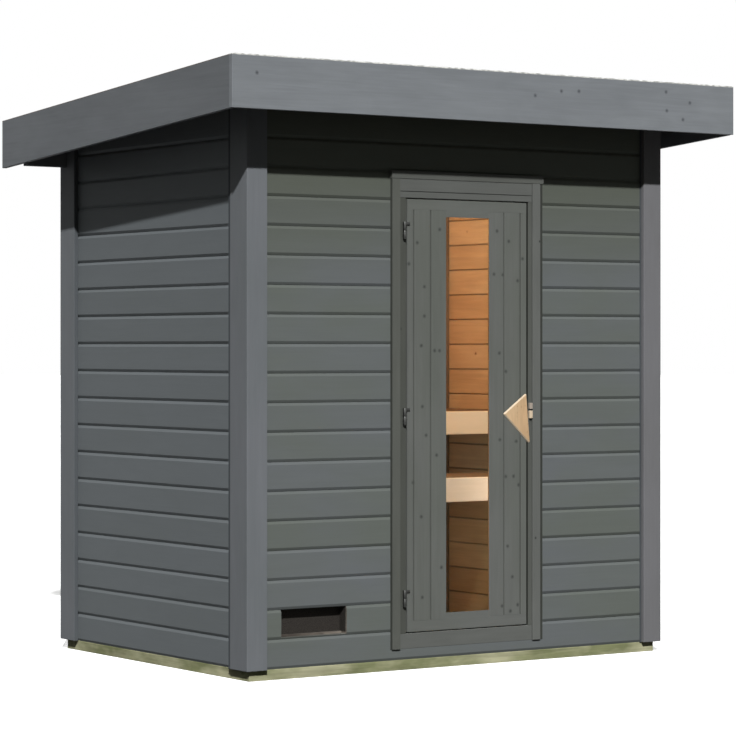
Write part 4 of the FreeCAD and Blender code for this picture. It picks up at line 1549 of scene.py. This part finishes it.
@dataclass
class Roof(Cabin):
    """The roof: beams, boards, fascias and felt.

    Attributes:
        ease: How much comes off each edge of a fascia.
        felt_ease: How much comes off each edge of the felt.
        side_shade: How much darker the paint of the side fascias is, a painted shade.
        trim: The height of the felt's edge on the fascias.
        wave: The length of one wave in the felt's front edge.
        wave_cuts: Where a wave is cut into parts, as shares of its length.
        lap_at: Where the upper strip of felt ends on the lower one, from the front.
        lap_rise: How far the upper strip lies over the lower one.
        nail_radius: The radius of a nail's head.
        nail_sides: How many flats it has round it.
        nail_depth: How thick it is, as a share of its radius.
        nail_rim: How wide its sloped rim is, as a share of its radius.
        nail_dome: How far its middle stands up, as a share of its thickness.
        nail_proud: How far it stands in the board, as a share of its radius.
        painted_share: How large a painted nail shows, as a share of a bright one.
        nail_columns: Where the painted nails lie across the front fascia.
        nail_rows: How high they lie on it, as shares of its height.
        knots: Where the front fascia's knots lie, across and up.
        bright_nails: Where nails show bright in the front fascia.
    """

    ease: float = 0.0015
    felt_ease: float = 0.0005
    side_shade: float = 0.86
    trim: float = 0.004
    wave: float = 0.062
    wave_cuts: tuple[float, ...] = (0.25, 0.5, 0.75)
    lap_at: float = 0.95
    lap_rise: float = 0.003
    nail_radius: float = 0.004
    nail_sides: int = 16
    nail_depth: float = 0.4
    nail_rim: float = 0.45
    nail_dome: float = 0.3
    nail_proud: float = 0.15
    painted_share: float = 0.75
    nail_columns: tuple[float, ...] = (-1.10, -0.55, 0.0, 0.55, 1.10)
    nail_rows: tuple[float, ...] = (0.2, 0.8)
    knots: Places = (
        (-1.118, 2.309), (0.187, 2.288), (0.319, 2.312), (0.408, 2.316), (0.864, 2.336), (0.992, 2.297),
        (0.868, 2.259), (0.955, 2.226),
    )
    bright_nails: Places = ((0.867, 2.192), (0.931, 2.197))

    def boards(self) -> None:
        """Plane the beams, the deck and the fascias, and make room for the felt's edge on three of these."""
        self.timber("roof_beams", "roof_beam_timbers", self.finishes.post(), Slot.POSTS, self.ease)
        self.timber("roof_deck", "roof_deck_boards", self.finishes.bare(Axis.DEEP), Slot.PLAIN, 0.0)
        # The side fascias' darker paint is a painted shade.
        side_paint = self.finishes.fascia(Axis.DEEP, self.side_shade)
        for node, paint, fall in (
            ("front_fascia", self.finishes.fascia(Axis.ACROSS, marks=self.knots), 0.0),
            ("back_fascia", self.finishes.fascia(Axis.ACROSS), None),
            ("left_fascia", side_paint, self.slope()), ("right_fascia", side_paint, self.slope()),
        ):
            board = Bench.from_solid(self.frame, node, f"{node}_board", 0.0)
            if fall is not None:
                low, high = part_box(node)
                edge = Vector((low.x, low.y, high.z - self.trim))
                Bench.split(board, edge, (UPWARD + BACKWARD * fall).normalized(), keep_below=True)
            Bench.ease(board, self.ease)
            self.dress(board, paint, Slot.FASCIAS, (node,))

    def slope(self) -> float:
        """How far the roof falls for each metre towards the back.

        Returns:
            The fall in metres.
        """
        points = self.points("left_fascia")
        front, back = min(point.y for point in points), max(point.y for point in points)
        tops = [max(point.z for point in points if abs(point.y - end) < MILLIMETRE) for end in (front, back)]
        return (tops[0] - tops[1]) / (back - front)

    def front_trim(self) -> None:
        """Cut the felt's wavy edge on the front fascia, whose white is a painted highlight."""
        low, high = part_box("front_fascia")
        count = math.floor((high.x - low.x) / self.wave)
        pitch = (high.x - low.x) / count
        piece = Bench.block("felt_front_edge", (low.x, low.y, high.z - self.trim - MILLIMETRE),
                            (low.x + pitch, high.y, high.z - self.trim / 2))
        for share in self.wave_cuts:
            Bench.split(piece, Vector((low.x + pitch * share, 0.0, 0.0)), Vector((1.0, 0.0, 0.0)))
        Bench.move(piece, lambda place: (
            place.z > high.z - self.trim and MILLIMETRE < place.x - low.x < pitch - MILLIMETRE
        ), UPWARD * (self.trim / 2))
        Bench.repeat(piece, count, (pitch, 0.0, 0.0))
        self.dress(piece, self.finishes.coat(Coat.FRONT_EDGE), Slot.FELT)

    def side_trim(self) -> None:
        """Lay the felt's edge on the side fascias."""
        for side in ("left", "right"):
            low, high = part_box(f"{side}_fascia")
            piece = Bench.block(f"felt_{side}_edge", (low.x, low.y, high.z - self.trim),
                                (high.x, high.y, high.z - self.trim / 2))
            Bench.move(piece, lambda place: place.y > high.y - MILLIMETRE,
                       UPWARD * (self.slope() * (low.y - high.y)))
            self.dress(piece, self.finishes.coat(Coat.SIDE_EDGE), Slot.FELT)

    def felt(self) -> None:
        """Lay the felt: a sheet over the whole deck, and a second strip that laps over it at the front."""
        felt = self.finishes.coat(Coat.FELT)
        self.timber("roof_felt", "roof_felt_sheet", felt, Slot.FELT, self.felt_ease)
        strip = Bench.from_solid(self.frame, "roof_felt", "roof_felt_upper_strip", 0.0)
        end = BACKWARD * (self.low("roof_felt").y + self.lap_at)
        Bench.split(strip, end, BACKWARD, keep_below=True)
        Bench.move(strip, lambda place: True, UPWARD * self.lap_rise)
        self.dress(strip, felt, Slot.FELT)

    def nails(self, name: str, places: Iterable[tuple[float, float]], radius: float, material: Material,
              slot: Slot) -> None:
        """Drive nails into the front fascia, their domed heads just proud.

        Args:
            name: The piece's name.
            places: Where the nails lie, across and up.
            radius: The radius of their heads.
            material: Their finish.
            slot: The record's name for it.
        """
        face = self.low("front_fascia").y + self.nail_radius * self.nail_proud
        depth = radius * self.nail_depth
        heads = []
        for across, up in places:
            head = Bench.rod(name, (across, face + depth / 2, up), radius, depth, self.nail_sides)
            Bench.inset(head, -1, radius * self.nail_rim, -depth * self.nail_dome)
            heads.append(head)
        self.dress(Bench.join(name, heads), material, slot)

    def build(self) -> None:
        """Build the roof."""
        self.boards()
        self.felt()
        self.front_trim()
        self.side_trim()
        low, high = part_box("front_fascia")
        painted = [(across, low.z + (high.z - low.z) * share)
                   for across in self.nail_columns for share in self.nail_rows]
        self.nails("fascia_nails", painted, self.nail_radius * self.painted_share,
                   self.finishes.fascia(Axis.ACROSS), Slot.FASCIAS)
        self.nails("fascia_bright_nails", self.bright_nails, self.nail_radius,
                   self.finishes.coat(Coat.BRIGHT_NAIL), Slot.STEEL)


@dataclass
class Doorway(Cabin):
    """The door frame and the trim round it.

    Attributes:
        ease: How much comes off each edge.
        block_ease: How much comes off each edge of the catch blocks.
        behind: How far behind the frame's face the gap round the leaf starts.
        reach: How far from the leaf's edges it reaches.
        forward: How much its faces look forward or back at most.
        side_trim: How thick the trim boards at both sides are.
        head_trim: How thick the trim board over the doorway is.
        lining: How thick the lining board under it is.
        lining_foot: The height of the lining board's lower edge.
        groove: How deep the groove in the frame's head and sill is.
        strips: Where the filler strips beside the trim lie, from their left to their right edge.
        strip: How thick they are.
    """

    ease: float = 0.0015
    block_ease: float = 0.002
    behind: float = 0.004
    reach: float = 0.012
    forward: float = 0.5
    side_trim: float = 0.009
    head_trim: float = 0.021
    lining: float = 0.003
    lining_foot: float = 1.900
    groove: float = 0.007
    strips: Places = ((-0.347, -0.343), (0.393, 0.409))
    strip: float = 0.0015

    def frame_boards(self) -> None:
        """Plane the frame, and paint the gap round the leaf."""
        front = self.low("door_frame_head").y
        leaf_low, leaf_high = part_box("door_rails")

        def in_gap(centre: Vector, normal: Vector, width: float) -> bool:
            """Whether a face lies in the gap round the leaf."""
            near = min(abs(centre[axis] - corner[axis])
                       for axis in (0, 2) for corner in (leaf_low, leaf_high))
            return near < self.reach and centre.y > front + self.behind and abs(normal.y) < self.forward

        for node, grain, tone in (
            ("door_jamb_hinge_side", Axis.UP, Tone.HINGE_JAMB),
            ("door_jamb_latch_side", Axis.UP, Tone.LATCH_JAMB),
            ("door_frame_head", Axis.ACROSS, Tone.HEAD),
            ("door_frame_sill", Axis.ACROSS, Tone.HEAD),
        ):
            board = Bench.from_solid(self.frame, node, f"{node}_timber", 0.0)
            if grain is Axis.ACROSS:
                self.fill_groove(board, front)
            Bench.ease(board, self.ease)
            self.dress(board, self.finishes.joinery(grain, tone), Slot.JOINERY, (node,))
            # The head and the sill get painted light in the gap over and under the leaf, the jambs painted
            # shade.
            self.recoat(board, Coat.LIGHT_GAP if grain is Axis.ACROSS else Coat.SHADOW_GAP, in_gap)

    def fill_groove(self, board: Piece, front: float) -> None:
        """Fill the groove in a board's face, which the lining or the paint hides.

        Args:
            board: The board.
            front: How far back its face lies.
        """
        for point in board.data.vertices:
            if MILLIMETRE < point.co.y - front < self.groove + MILLIMETRE:
                point.co.y = front
        Bench.edit(board, Part.FACE, True)
        bpy.ops.mesh.dissolve_degenerate(threshold=MILLIMETRE / 10)
        bpy.ops.mesh.select_all(action="SELECT")
        bpy.ops.mesh.dissolve_limited(angle_limit=FLAT)
        Bench.done()

    def trim_board(self, node: str, name: str, thick: float, material: Material) -> Piece:
        """Plane a trim board down to its thickness, and ease its edges.

        Args:
            node: The solid that it stands for.
            name: The board's name.
            thick: Its thickness.
            material: Its finish.

        Returns:
            The board.
        """
        board = Bench.from_solid(self.frame, node, name, 0.0)
        wall = self.high(node).y
        if thick < wall - self.low(node).y:
            Bench.split(board, BACKWARD * (wall - thick), -BACKWARD, keep_below=True)
        Bench.ease(board, self.ease)
        return self.dress(board, material, Slot.JOINERY, (node,))

    def trim(self) -> None:
        """Nail the trim round the frame: two sides, a head, and a lining board under the head."""
        low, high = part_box("door_casing_sides")
        sides = self.trim_board("door_casing_sides", "door_casing_side_boards", self.side_trim,
                                self.finishes.joinery(Axis.UP, Tone.HINGE_TRIM))
        self.recoat(sides, self.finishes.joinery(Axis.UP, Tone.LATCH_TRIM), lambda centre, normal, width: (
            centre.x > (low.x + high.x) / 2))
        # The trim's outer edge on the hinge side gets painted shade.
        self.recoat(sides, Coat.SHADOW_GAP, lambda centre, normal, width: (
            normal.x < -FACING and centre.x < low.x + MILLIMETRE))
        cap = self.trim_board("door_casing_head", "door_casing_head_board", self.head_trim,
                              self.finishes.joinery(Axis.ACROSS, Tone.CAP))
        cap.visible_shadow = False
        inner = [point.x for point in self.points("door_casing_sides")
                 if low.x + MILLIMETRE < point.x < high.x - MILLIMETRE]
        board = Bench.block("door_lining_board", (min(inner), high.y - self.lining, self.lining_foot),
                            (max(inner), high.y, high.z))
        Bench.split(board, Vector((0.0, high.y, self.lining_foot)), -(UPWARD + BACKWARD).normalized(), True)
        Bench.ease(board, self.ease / 2)
        self.dress(board, self.finishes.joinery(Axis.ACROSS, Tone.HEAD), Slot.JOINERY)

    def filler_strips(self) -> None:
        """Press a dark strip into the joint beside each trim board, a painted shade."""
        low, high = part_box("door_casing_sides")
        pieces = []
        for left, right in self.strips:
            piece = Bench.block("filler_strip", (left, high.y - self.strip, low.z), (right, high.y, high.z))
            Bench.inset(piece, -1, self.strip / 2, self.strip / 3)
            pieces.append(piece)
        strips = Bench.join("door_painted_shade_strips", pieces)
        # The strips' dark paint is a painted shade beside the trim.
        self.dress(strips, self.finishes.coat(Coat.SHADOW_GAP), Slot.JOINERY)

    def build(self) -> None:
        """Build the doorway, and screw the catch blocks to it."""
        self.frame_boards()
        self.trim()
        self.filler_strips()
        blocks = self.timber("door_catch_blocks", "catch_blocks", self.finishes.coat(Coat.GRIP_EDGE),
                             Slot.GRIPS, self.block_ease)
        low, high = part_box("door_catch_blocks")
        self.recoat(blocks, Coat.WEATHERED, lambda centre, normal, width: centre.z > (low.z + high.z) / 2)


@dataclass
class DoorLeaf(Cabin):
    """The door leaf with its pane, hinges and handles.

    Attributes:
        ease: How much comes off each edge of a board.
        joint_width: How wide a face of a board joint is at least.
        joint_depth: How far behind the leaf's face such a face lies at most.
        lean: How much it looks forward, and how much aside, at least.
        splay: How much wider the opening is at the back of the leaf, at each side.
        lip: How much wider it is in front of the pane.
        groove: How much wider it is at the edges of the pane.
        groove_reach: How far from the opening's edge the points of the pane's groove lie at most.
        reveal_facing: How much a face of the reveal looks back, at least and at most.
        pane_depth: How thick the pane is.
        hinge_share: How long a hinge shows, as a share of the solid's length.
        hinge_apart: How far apart two hinges are at least.
        hinge_ease: How much comes off each edge of a hinge.
        hinge_round: How sharp an edge may be to show as round, in degrees.
        knots: Where the leaf's darker knots lie, across and up.
        plate: How thick the handle's plate is.
        plate_facing: How much the plate's face looks forward at least.
        stand_radius: The radius of the handle's stands.
        stand_sides: How many flats they have round them.
        stand_rim: How wide the rim of a stand's end is, as a share of its radius.
        stand_ease: How much comes off its edges.
        grip_ease: How much comes off the edges of the grip inside.
    """

    ease: float = 0.0012
    joint_width: float = 0.0022
    joint_depth: float = 0.006
    lean: float = 0.3
    splay: float = 0.027
    lip: float = 0.008
    groove: float = 0.0099
    groove_reach: float = 0.012
    reveal_facing: Span = (-0.2, 0.95)
    pane_depth: float = 0.004
    hinge_share: float = 0.77
    hinge_apart: float = 0.2
    hinge_ease: float = 0.0006
    hinge_round: float = 32.0
    plate: float = 0.008
    plate_facing: float = 0.95
    stand_radius: float = 0.008
    stand_sides: int = 24
    stand_rim: float = 0.12
    stand_ease: float = 0.0008
    grip_ease: float = 0.003
    knots: Places = (
        (-0.105, 1.755), (-0.215, 1.700), (-0.255, 1.615), (-0.180, 1.525), (0.180, 1.755), (0.240, 1.715),
        (0.310, 1.645), (0.165, 1.580), (0.210, 1.578), (0.285, 1.555), (-0.180, 1.408), (-0.195, 1.290),
        (-0.130, 1.270), (-0.106, 1.270), (-0.190, 1.047), (-0.172, 0.932), (-0.120, 0.852), (0.192, 1.260),
        (0.225, 1.185), (0.195, 0.908), (0.278, 0.900), (-0.235, 0.745), (-0.195, 0.608), (-0.097, 0.402),
        (-0.190, 0.286), (0.225, 0.758), (0.264, 0.758), (0.290, 0.722), (0.234, 0.474), (0.258, 0.348),
        (0.206, 0.232), (0.248, 0.209), (0.285, 0.233),
    )

    def opening(self) -> tuple[Vector, Vector]:
        """Find the leaf's opening in the solid of its side boards.

        Returns:
            Its lowest and its highest corner.
        """
        low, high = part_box("door_boards")
        glass_low, glass_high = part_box("door_glass")
        middle = (glass_low.x + glass_high.x) / 2
        faces = [point.x for point in self.points("door_boards") if point.y > high.y - MILLIMETRE]
        left = max(place for place in faces if place < middle)
        right = min(place for place in faces if place > middle)
        foot = glass_low.z + (left - glass_low.x)
        head = glass_high.z - (glass_high.x - right)
        return Vector((left, low.y, foot)), Vector((right, high.y, head))

    def widen(self, piece: Piece) -> None:
        """Splay the opening towards the back of the leaf, with a narrow seat for the pane.

        Args:
            piece: The boards or the rails of the leaf.
        """
        low, high = self.opening()
        front_wall, back_wall = self.low("door_glass").y, self.high("door_glass").y
        near, reach = MILLIMETRE / 2, self.groove_reach
        for point in piece.data.vertices:
            place = point.co
            between = low.x - reach < place.x < high.x + reach
            at_front = abs(place.y - front_wall) < near
            at_back = abs(place.y - back_wall) < near
            for axis, first, last in ((2, low.z, high.z), (0, low.x, high.x)):
                for edge, turn in ((first, -1), (last, 1)):
                    away = turn * (place[axis] - edge)
                    if (axis == 2 and not between) or not -near < away < reach:
                        continue
                    if place.y > high.y - near:
                        place[axis] = edge + turn * self.splay
                    elif at_front and away < near:
                        place[axis] = edge + turn * self.lip
                    elif at_back and away < near:
                        place[axis] = edge + turn * (self.lip + self.splay) / 2
                    elif at_front or at_back:
                        place[axis] = edge + turn * self.groove
            if at_back and between:
                place.y -= back_wall - front_wall - self.pane_depth

    def boards(self) -> None:
        """Plane the leaf's boards and rails, with joints in painted shade and a bare reveal round the pane.
        """
        low, high = self.opening()
        reach = self.splay + MILLIMETRE
        least, most = self.reveal_facing

        def in_reveal(centre: Vector, normal: Vector, width: float) -> bool:
            """Whether a face lies in the reveal round the pane."""
            beside = min(abs(centre.x - low.x), abs(centre.x - high.x)) < reach and abs(normal.z) < ASIDE
            across = (min(abs(centre.z - low.z), abs(centre.z - high.z)) < reach and abs(normal.x) < ASIDE
                      and low.x < centre.x < high.x)
            inside = low.z - reach < centre.z < high.z + reach
            return inside and least < normal.y < most and (beside or across)

        for node, grain in (("door_boards", Axis.UP), ("door_rails", Axis.ACROSS)):
            piece = Bench.from_solid(self.frame, node, f"{node}_timber", 0.0)
            self.widen(piece)
            Bench.ease(piece, self.ease)
            paint = self.finishes.joinery(grain, marks=self.knots)
            self.dress(piece, paint, Slot.JOINERY, (node,), Body.DOOR)
            # The faces of the grooves between the boards get painted shade.
            self.recoat(piece, Coat.BOARD_JOINT, lambda centre, normal, width: (
                min(abs(normal.x), abs(normal.y)) > self.lean and centre.y < low.y + self.joint_depth
                and width > self.joint_width))
            self.recoat(piece, Coat.REVEAL, in_reveal)
            # The reveal's faces over the pane get a darker bare wood, a painted shade.
            self.recoat(piece, Coat.DARK_REVEAL, lambda centre, normal, width: (
                in_reveal(centre, normal, width) and normal.z < -self.lean))

    def pane(self) -> None:
        """Cut the pane to its seat, and make it as thin as it shows."""
        piece = Bench.from_solid(self.frame, "door_glass", "door_pane", 0.0)
        low, high = self.opening()
        back = self.low("door_glass").y + self.pane_depth
        seat = self.groove - MILLIMETRE / 5
        for point in piece.data.vertices:
            for axis in (0, 2):
                point.co[axis] = min(max(point.co[axis], low[axis] - seat), high[axis] + seat)
            point.co.y = min(point.co.y, back)
        Bench.ease(piece, MILLIMETRE / 2)
        self.dress(piece, self.finishes.coat(Coat.GLASS), Slot.GLASS, ("door_glass",), Body.DOOR)

    def handle(self) -> None:
        """Cut the handle: a three-cornered plate with sloped, lighter edges, on two round stands."""
        low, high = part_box("door_handle")
        back = low.y + self.plate
        plate = Bench.from_solid(self.frame, "door_handle", "triangle_handle", 0.0)
        Bench.split(plate, BACKWARD * back, BACKWARD, keep_below=True)
        feet = [point for point in self.points("door_handle") if point.y > high.y - MILLIMETRE]
        middle = (min(point.x for point in feet) + max(point.x for point in feet)) / 2
        radius = self.stand_radius
        pieces = [plate]
        for up in (max(point.z for point in feet) - radius, min(point.z for point in feet) + radius):
            centre = (middle, (back + high.y) / 2, up)
            stand = Bench.rod("stand", centre, radius, high.y - back, self.stand_sides)
            Bench.inset(stand, 1, radius * self.stand_rim)
            Bench.ease(stand, self.stand_ease)
            pieces.append(stand)
        piece = Bench.join("triangle_handle", pieces)
        piece.visible_shadow = False
        self.dress(piece, self.finishes.coat(Coat.GRIP), Slot.GRIPS, ("door_handle",), Body.DOOR)
        # The plate's sloped edges get a paler wood, a painted highlight.
        self.recoat(piece, Coat.GRIP_EDGE, lambda centre, normal, width: normal.y > -self.plate_facing)

    def hinges(self) -> None:
        """Turn both halves of the hinges, each hinge a little shorter below its top than its solid."""
        levels = sorted(point.z for point in self.points("hinge_leaf_halves"))
        tops = [level for level, above in zip(levels, levels[1:]) if above - level > self.hinge_apart]
        tops.append(levels[-1])
        for node, name, body in (("hinge_leaf_halves", "hinges_on_leaf", Body.DOOR),
                                 ("hinge_frame_halves", "hinges_on_frame", Body.CABIN)):
            piece = Bench.from_solid(self.frame, node, name, 0.0)
            for point in piece.data.vertices:
                top = min(level for level in tops if level > point.co.z - MILLIMETRE)
                point.co.z = top - (top - point.co.z) * self.hinge_share
            Bench.ease(piece, self.hinge_ease)
            Bench.take(piece)
            bpy.ops.object.shade_smooth_by_angle(angle=math.radians(self.hinge_round))
            self.dress(piece, self.finishes.coat(Coat.STEEL), Slot.STEEL, (node,), body)

    def build(self) -> None:
        """Build the leaf."""
        self.boards()
        self.handle()
        self.pane()
        self.timber("door_grip_inside", "inside_grip", self.finishes.coat(Coat.GRIP), Slot.GRIPS,
                    self.grip_ease, Body.DOOR)
        self.hinges()


@dataclass
class AirVent(Cabin):
    """The rim and the screen behind the air vent.

    Attributes:
        ease: How much comes off each edge of the rim.
        rim: How far the rim reaches beyond the opening.
        start: How far behind the wall's face the screen's folded edges start.
        sheet: How thick the mesh is.
    """

    ease: float = 0.001
    rim: float = 0.022
    start: float = 0.008
    sheet: float = 0.0012

    def screen(self) -> None:
        """Fold the screen: a flat sheet behind the rim, with three edges that run forward in the opening."""
        low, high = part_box("vent_screen")
        front = self.low("vent_board").y + self.start
        left, right = low.x + self.rim, high.x - self.rim
        floor, top = low.z + self.rim, self.high("vent_board").z
        inner_left, inner_right = left + self.sheet, right - self.sheet
        pieces = [Bench.block("fold", first, last) for first, last in (
            (low, high),
            ((left, front, floor), (inner_left, low.y, top)),
            ((inner_right, front, floor), (right, low.y, top)),
            ((inner_left, front, top - self.sheet), (inner_right, low.y, top)),
        )]
        piece = Bench.join("vent_screen_mesh", pieces)
        self.dress(piece, self.finishes.coat(Coat.MESH), Slot.MESH, ("vent_screen",))

    def build(self) -> None:
        """Plane the rim and hang the screen."""
        self.timber("vent_rim", "vent_rim_timber", self.finishes.coat(Coat.RAW_EDGE), Slot.PLAIN, self.ease)
        self.screen()


@dataclass
class Benches(Cabin):
    """The two benches.

    Attributes:
        ease: How much comes off each edge of a board.
    """

    ease: float = 0.004

    def build(self) -> None:
        """Plane the fronts, the slats and the bearers."""
        pale, seat = self.finishes.pale(Axis.ACROSS), self.finishes.coat(Coat.SEAT)
        for node, name, material in (
            ("upper_bench_front", "upper_bench_front_board", pale),
            ("upper_bench_slats", "upper_bench_seat_slats", seat),
            ("lower_bench_front", "lower_bench_front_board", pale),
            ("lower_bench_slats", "lower_bench_seat_slats", seat),
            ("bench_bearers", "bench_bearer_timbers", seat),
            ("lower_bench_rail", "lower_bench_rail_timber", pale),
        ):
            self.timber(node, name, material, Slot.BENCHES, self.ease)


@dataclass(frozen=True)
class FarLamp:
    """A lamp so far away that its light travels in one direction.

    Attributes:
        name: Its name.
        travel: The direction in which its light travels.
        level: Its brightness on a surface that faces it.
        softness: How wide it spreads, in degrees.
        place: Where it is drawn, which changes nothing in its light.
    """

    name: str
    travel: Place
    level: float
    softness: float
    place: Place = (-4.0, -6.0, 6.0)

    def hang(self) -> None:
        """Hang the lamp."""
        Bench.clear()
        bpy.ops.object.light_add(type="SUN", location=self.place)
        lamp = bpy.context.object
        lamp.name = self.name
        lamp.data.energy = self.level * math.pi
        lamp.data.angle = math.radians(self.softness)
        lamp.rotation_euler = Vector(self.travel).to_track_quat("-Z", "Y").to_euler()


@dataclass(frozen=True)
class RoomLamp:
    """A small lamp in the room, so that its walls and benches show through the pane.

    Attributes:
        place: Where it hangs.
        power: Its power.
        colour: Its colour.
        radius: How large it is.
    """

    place: Place
    power: float
    colour: Colour
    radius: float = 0.05

    def hang(self) -> None:
        """Hang the lamp, out of sight of the camera and of reflections."""
        Bench.clear()
        bpy.ops.object.light_add(type="POINT", location=self.place)
        lamp = bpy.context.object
        lamp.name = "room_lamp"
        lamp.data.energy = self.power
        lamp.data.shadow_soft_size = self.radius
        lamp.data.color = self.colour
        lamp.visible_camera = False
        lamp.visible_glossy = False


@dataclass
class Studio:
    """The floor, the lamps, the world and the camera.

    Attributes:
        floor_radius: How far the floor reaches.
        floor_sides: How many sides it has.
        camera_place: Where the camera stands.
        camera_turn: How far it is turned to the right of straight ahead, in degrees.
        camera_reach: How far it sees.
        lens: Its focal length.
        raise_view: How far the picture is shifted up or down, as a share of its width.
        sky_colour: The colour and brightness of the light from all round.
        lamps: The sun, the soft light from the left and the soft light from behind, then those in the room.
    """

    floor_radius: float = 120.0
    floor_sides: int = 96
    camera_place: Place = (-6.7176, -9.9822, 1.2819)
    camera_turn: float = 34.0
    camera_reach: float = 500.0
    lens: float = 139.2
    raise_view: float = -0.02826
    sky_colour: Colour = (0.037, 0.039, 0.031)
    lamps: tuple[FarLamp | RoomLamp, ...] = (
        FarLamp("sun", (0.681, 1.098, -1.0), 1.32, 1.2),
        FarLamp("fill", (0.75, 0.2, -0.63), 0.03, 40.0),
        FarLamp("back_fill", (-0.75, -0.75, -0.2), 1.0, 50.0),
        RoomLamp((0.10, -0.42, 1.95), 34.0, (0.92, 1.0, 0.97)),
        RoomLamp((-0.03, -0.49, 0.68), 2.42, (0.75, 0.87, 1.0)),
        RoomLamp((0.52, -0.49, 0.68), 2.42, (0.75, 0.87, 1.0)),
        RoomLamp((0.27, -0.09, 0.95), 0.46, (0.42, 0.83, 1.0)),
        RoomLamp((0.75, -0.09, 0.95), 0.46, (0.42, 0.83, 1.0)),
        RoomLamp((0.50, 0.00, 0.42), 1.2, (0.30, 0.95, 1.0)),
        RoomLamp((0.60, 0.45, 0.72), 0.32, (0.45, 0.65, 1.0)),
    )

    def floor(self) -> None:
        """Lay the pale floor."""
        Bench.clear()
        bpy.ops.mesh.primitive_circle_add(
            vertices=self.floor_sides, radius=self.floor_radius, fill_type="NGON", location=(0.0, 0.0, 0.0))
        floor = bpy.context.object
        floor.name = "studio_floor"
        floor.data.materials.append(Ground().make())

    def sky(self) -> None:
        """Light from all round: dim on the cabin, and plain white to the camera and to reflections."""
        world = bpy.data.worlds.new("studio_sky")
        bpy.context.scene.world = world
        world.use_nodes = True
        nodes, links = world.node_tree.nodes, world.node_tree.links
        nodes.clear()
        path = nodes.new("ShaderNodeLightPath")
        seen = path.outputs["Is Camera Ray"]
        for ray in ("Is Glossy Ray", "Is Transmission Ray"):
            either = nodes.new("ShaderNodeMath")
            either.operation = "MAXIMUM"
            links.new(seen, either.inputs[0])
            links.new(path.outputs[ray], either.inputs[1])
            seen = either.outputs[0]
        level = nodes.new("ShaderNodeMix")
        level.data_type = "RGBA"
        links.new(seen, level.inputs["Factor"])
        level.inputs[MIX_FIRST].default_value = (*self.sky_colour, 1.0)
        level.inputs[MIX_SECOND].default_value = (1.0, 1.0, 1.0, 1.0)
        background = nodes.new("ShaderNodeBackground")
        links.new(level.outputs[MIX_RESULT], background.inputs["Color"])
        output = nodes.new("ShaderNodeOutputWorld")
        links.new(background.outputs["Background"], output.inputs["Surface"])

    def camera(self) -> None:
        """Stand the camera where the photograph was taken from."""
        Bench.clear()
        bpy.ops.object.camera_add(location=self.camera_place,
                                  rotation=(math.pi / 2, 0.0, -math.radians(self.camera_turn)))
        camera = bpy.context.object
        camera.name = "camera"
        camera.data.lens = self.lens
        camera.data.shift_y = self.raise_view
        camera.data.clip_end = self.camera_reach
        bpy.context.scene.camera = camera

    def build(self) -> None:
        """Set up the studio."""
        self.floor()
        self.sky()
        for lamp in self.lamps:
            lamp.hang()
        self.camera()
        bpy.context.scene.view_settings.view_transform = "Standard"


def main() -> None:
    """Dress the cabin."""
    logging.basicConfig(level=logging.INFO, format="%(message)s")
    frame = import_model()
    Studio().build()
    finishes = Finishes()
    for part in (GroundFrame, PlankWalls, CornerPosts, Roof, Doorway, DoorLeaf, AirVent, Benches):
        LOG.info("building %s", part.__name__)
        part(frame, finishes).build()


if __name__ == "__main__":
    main()
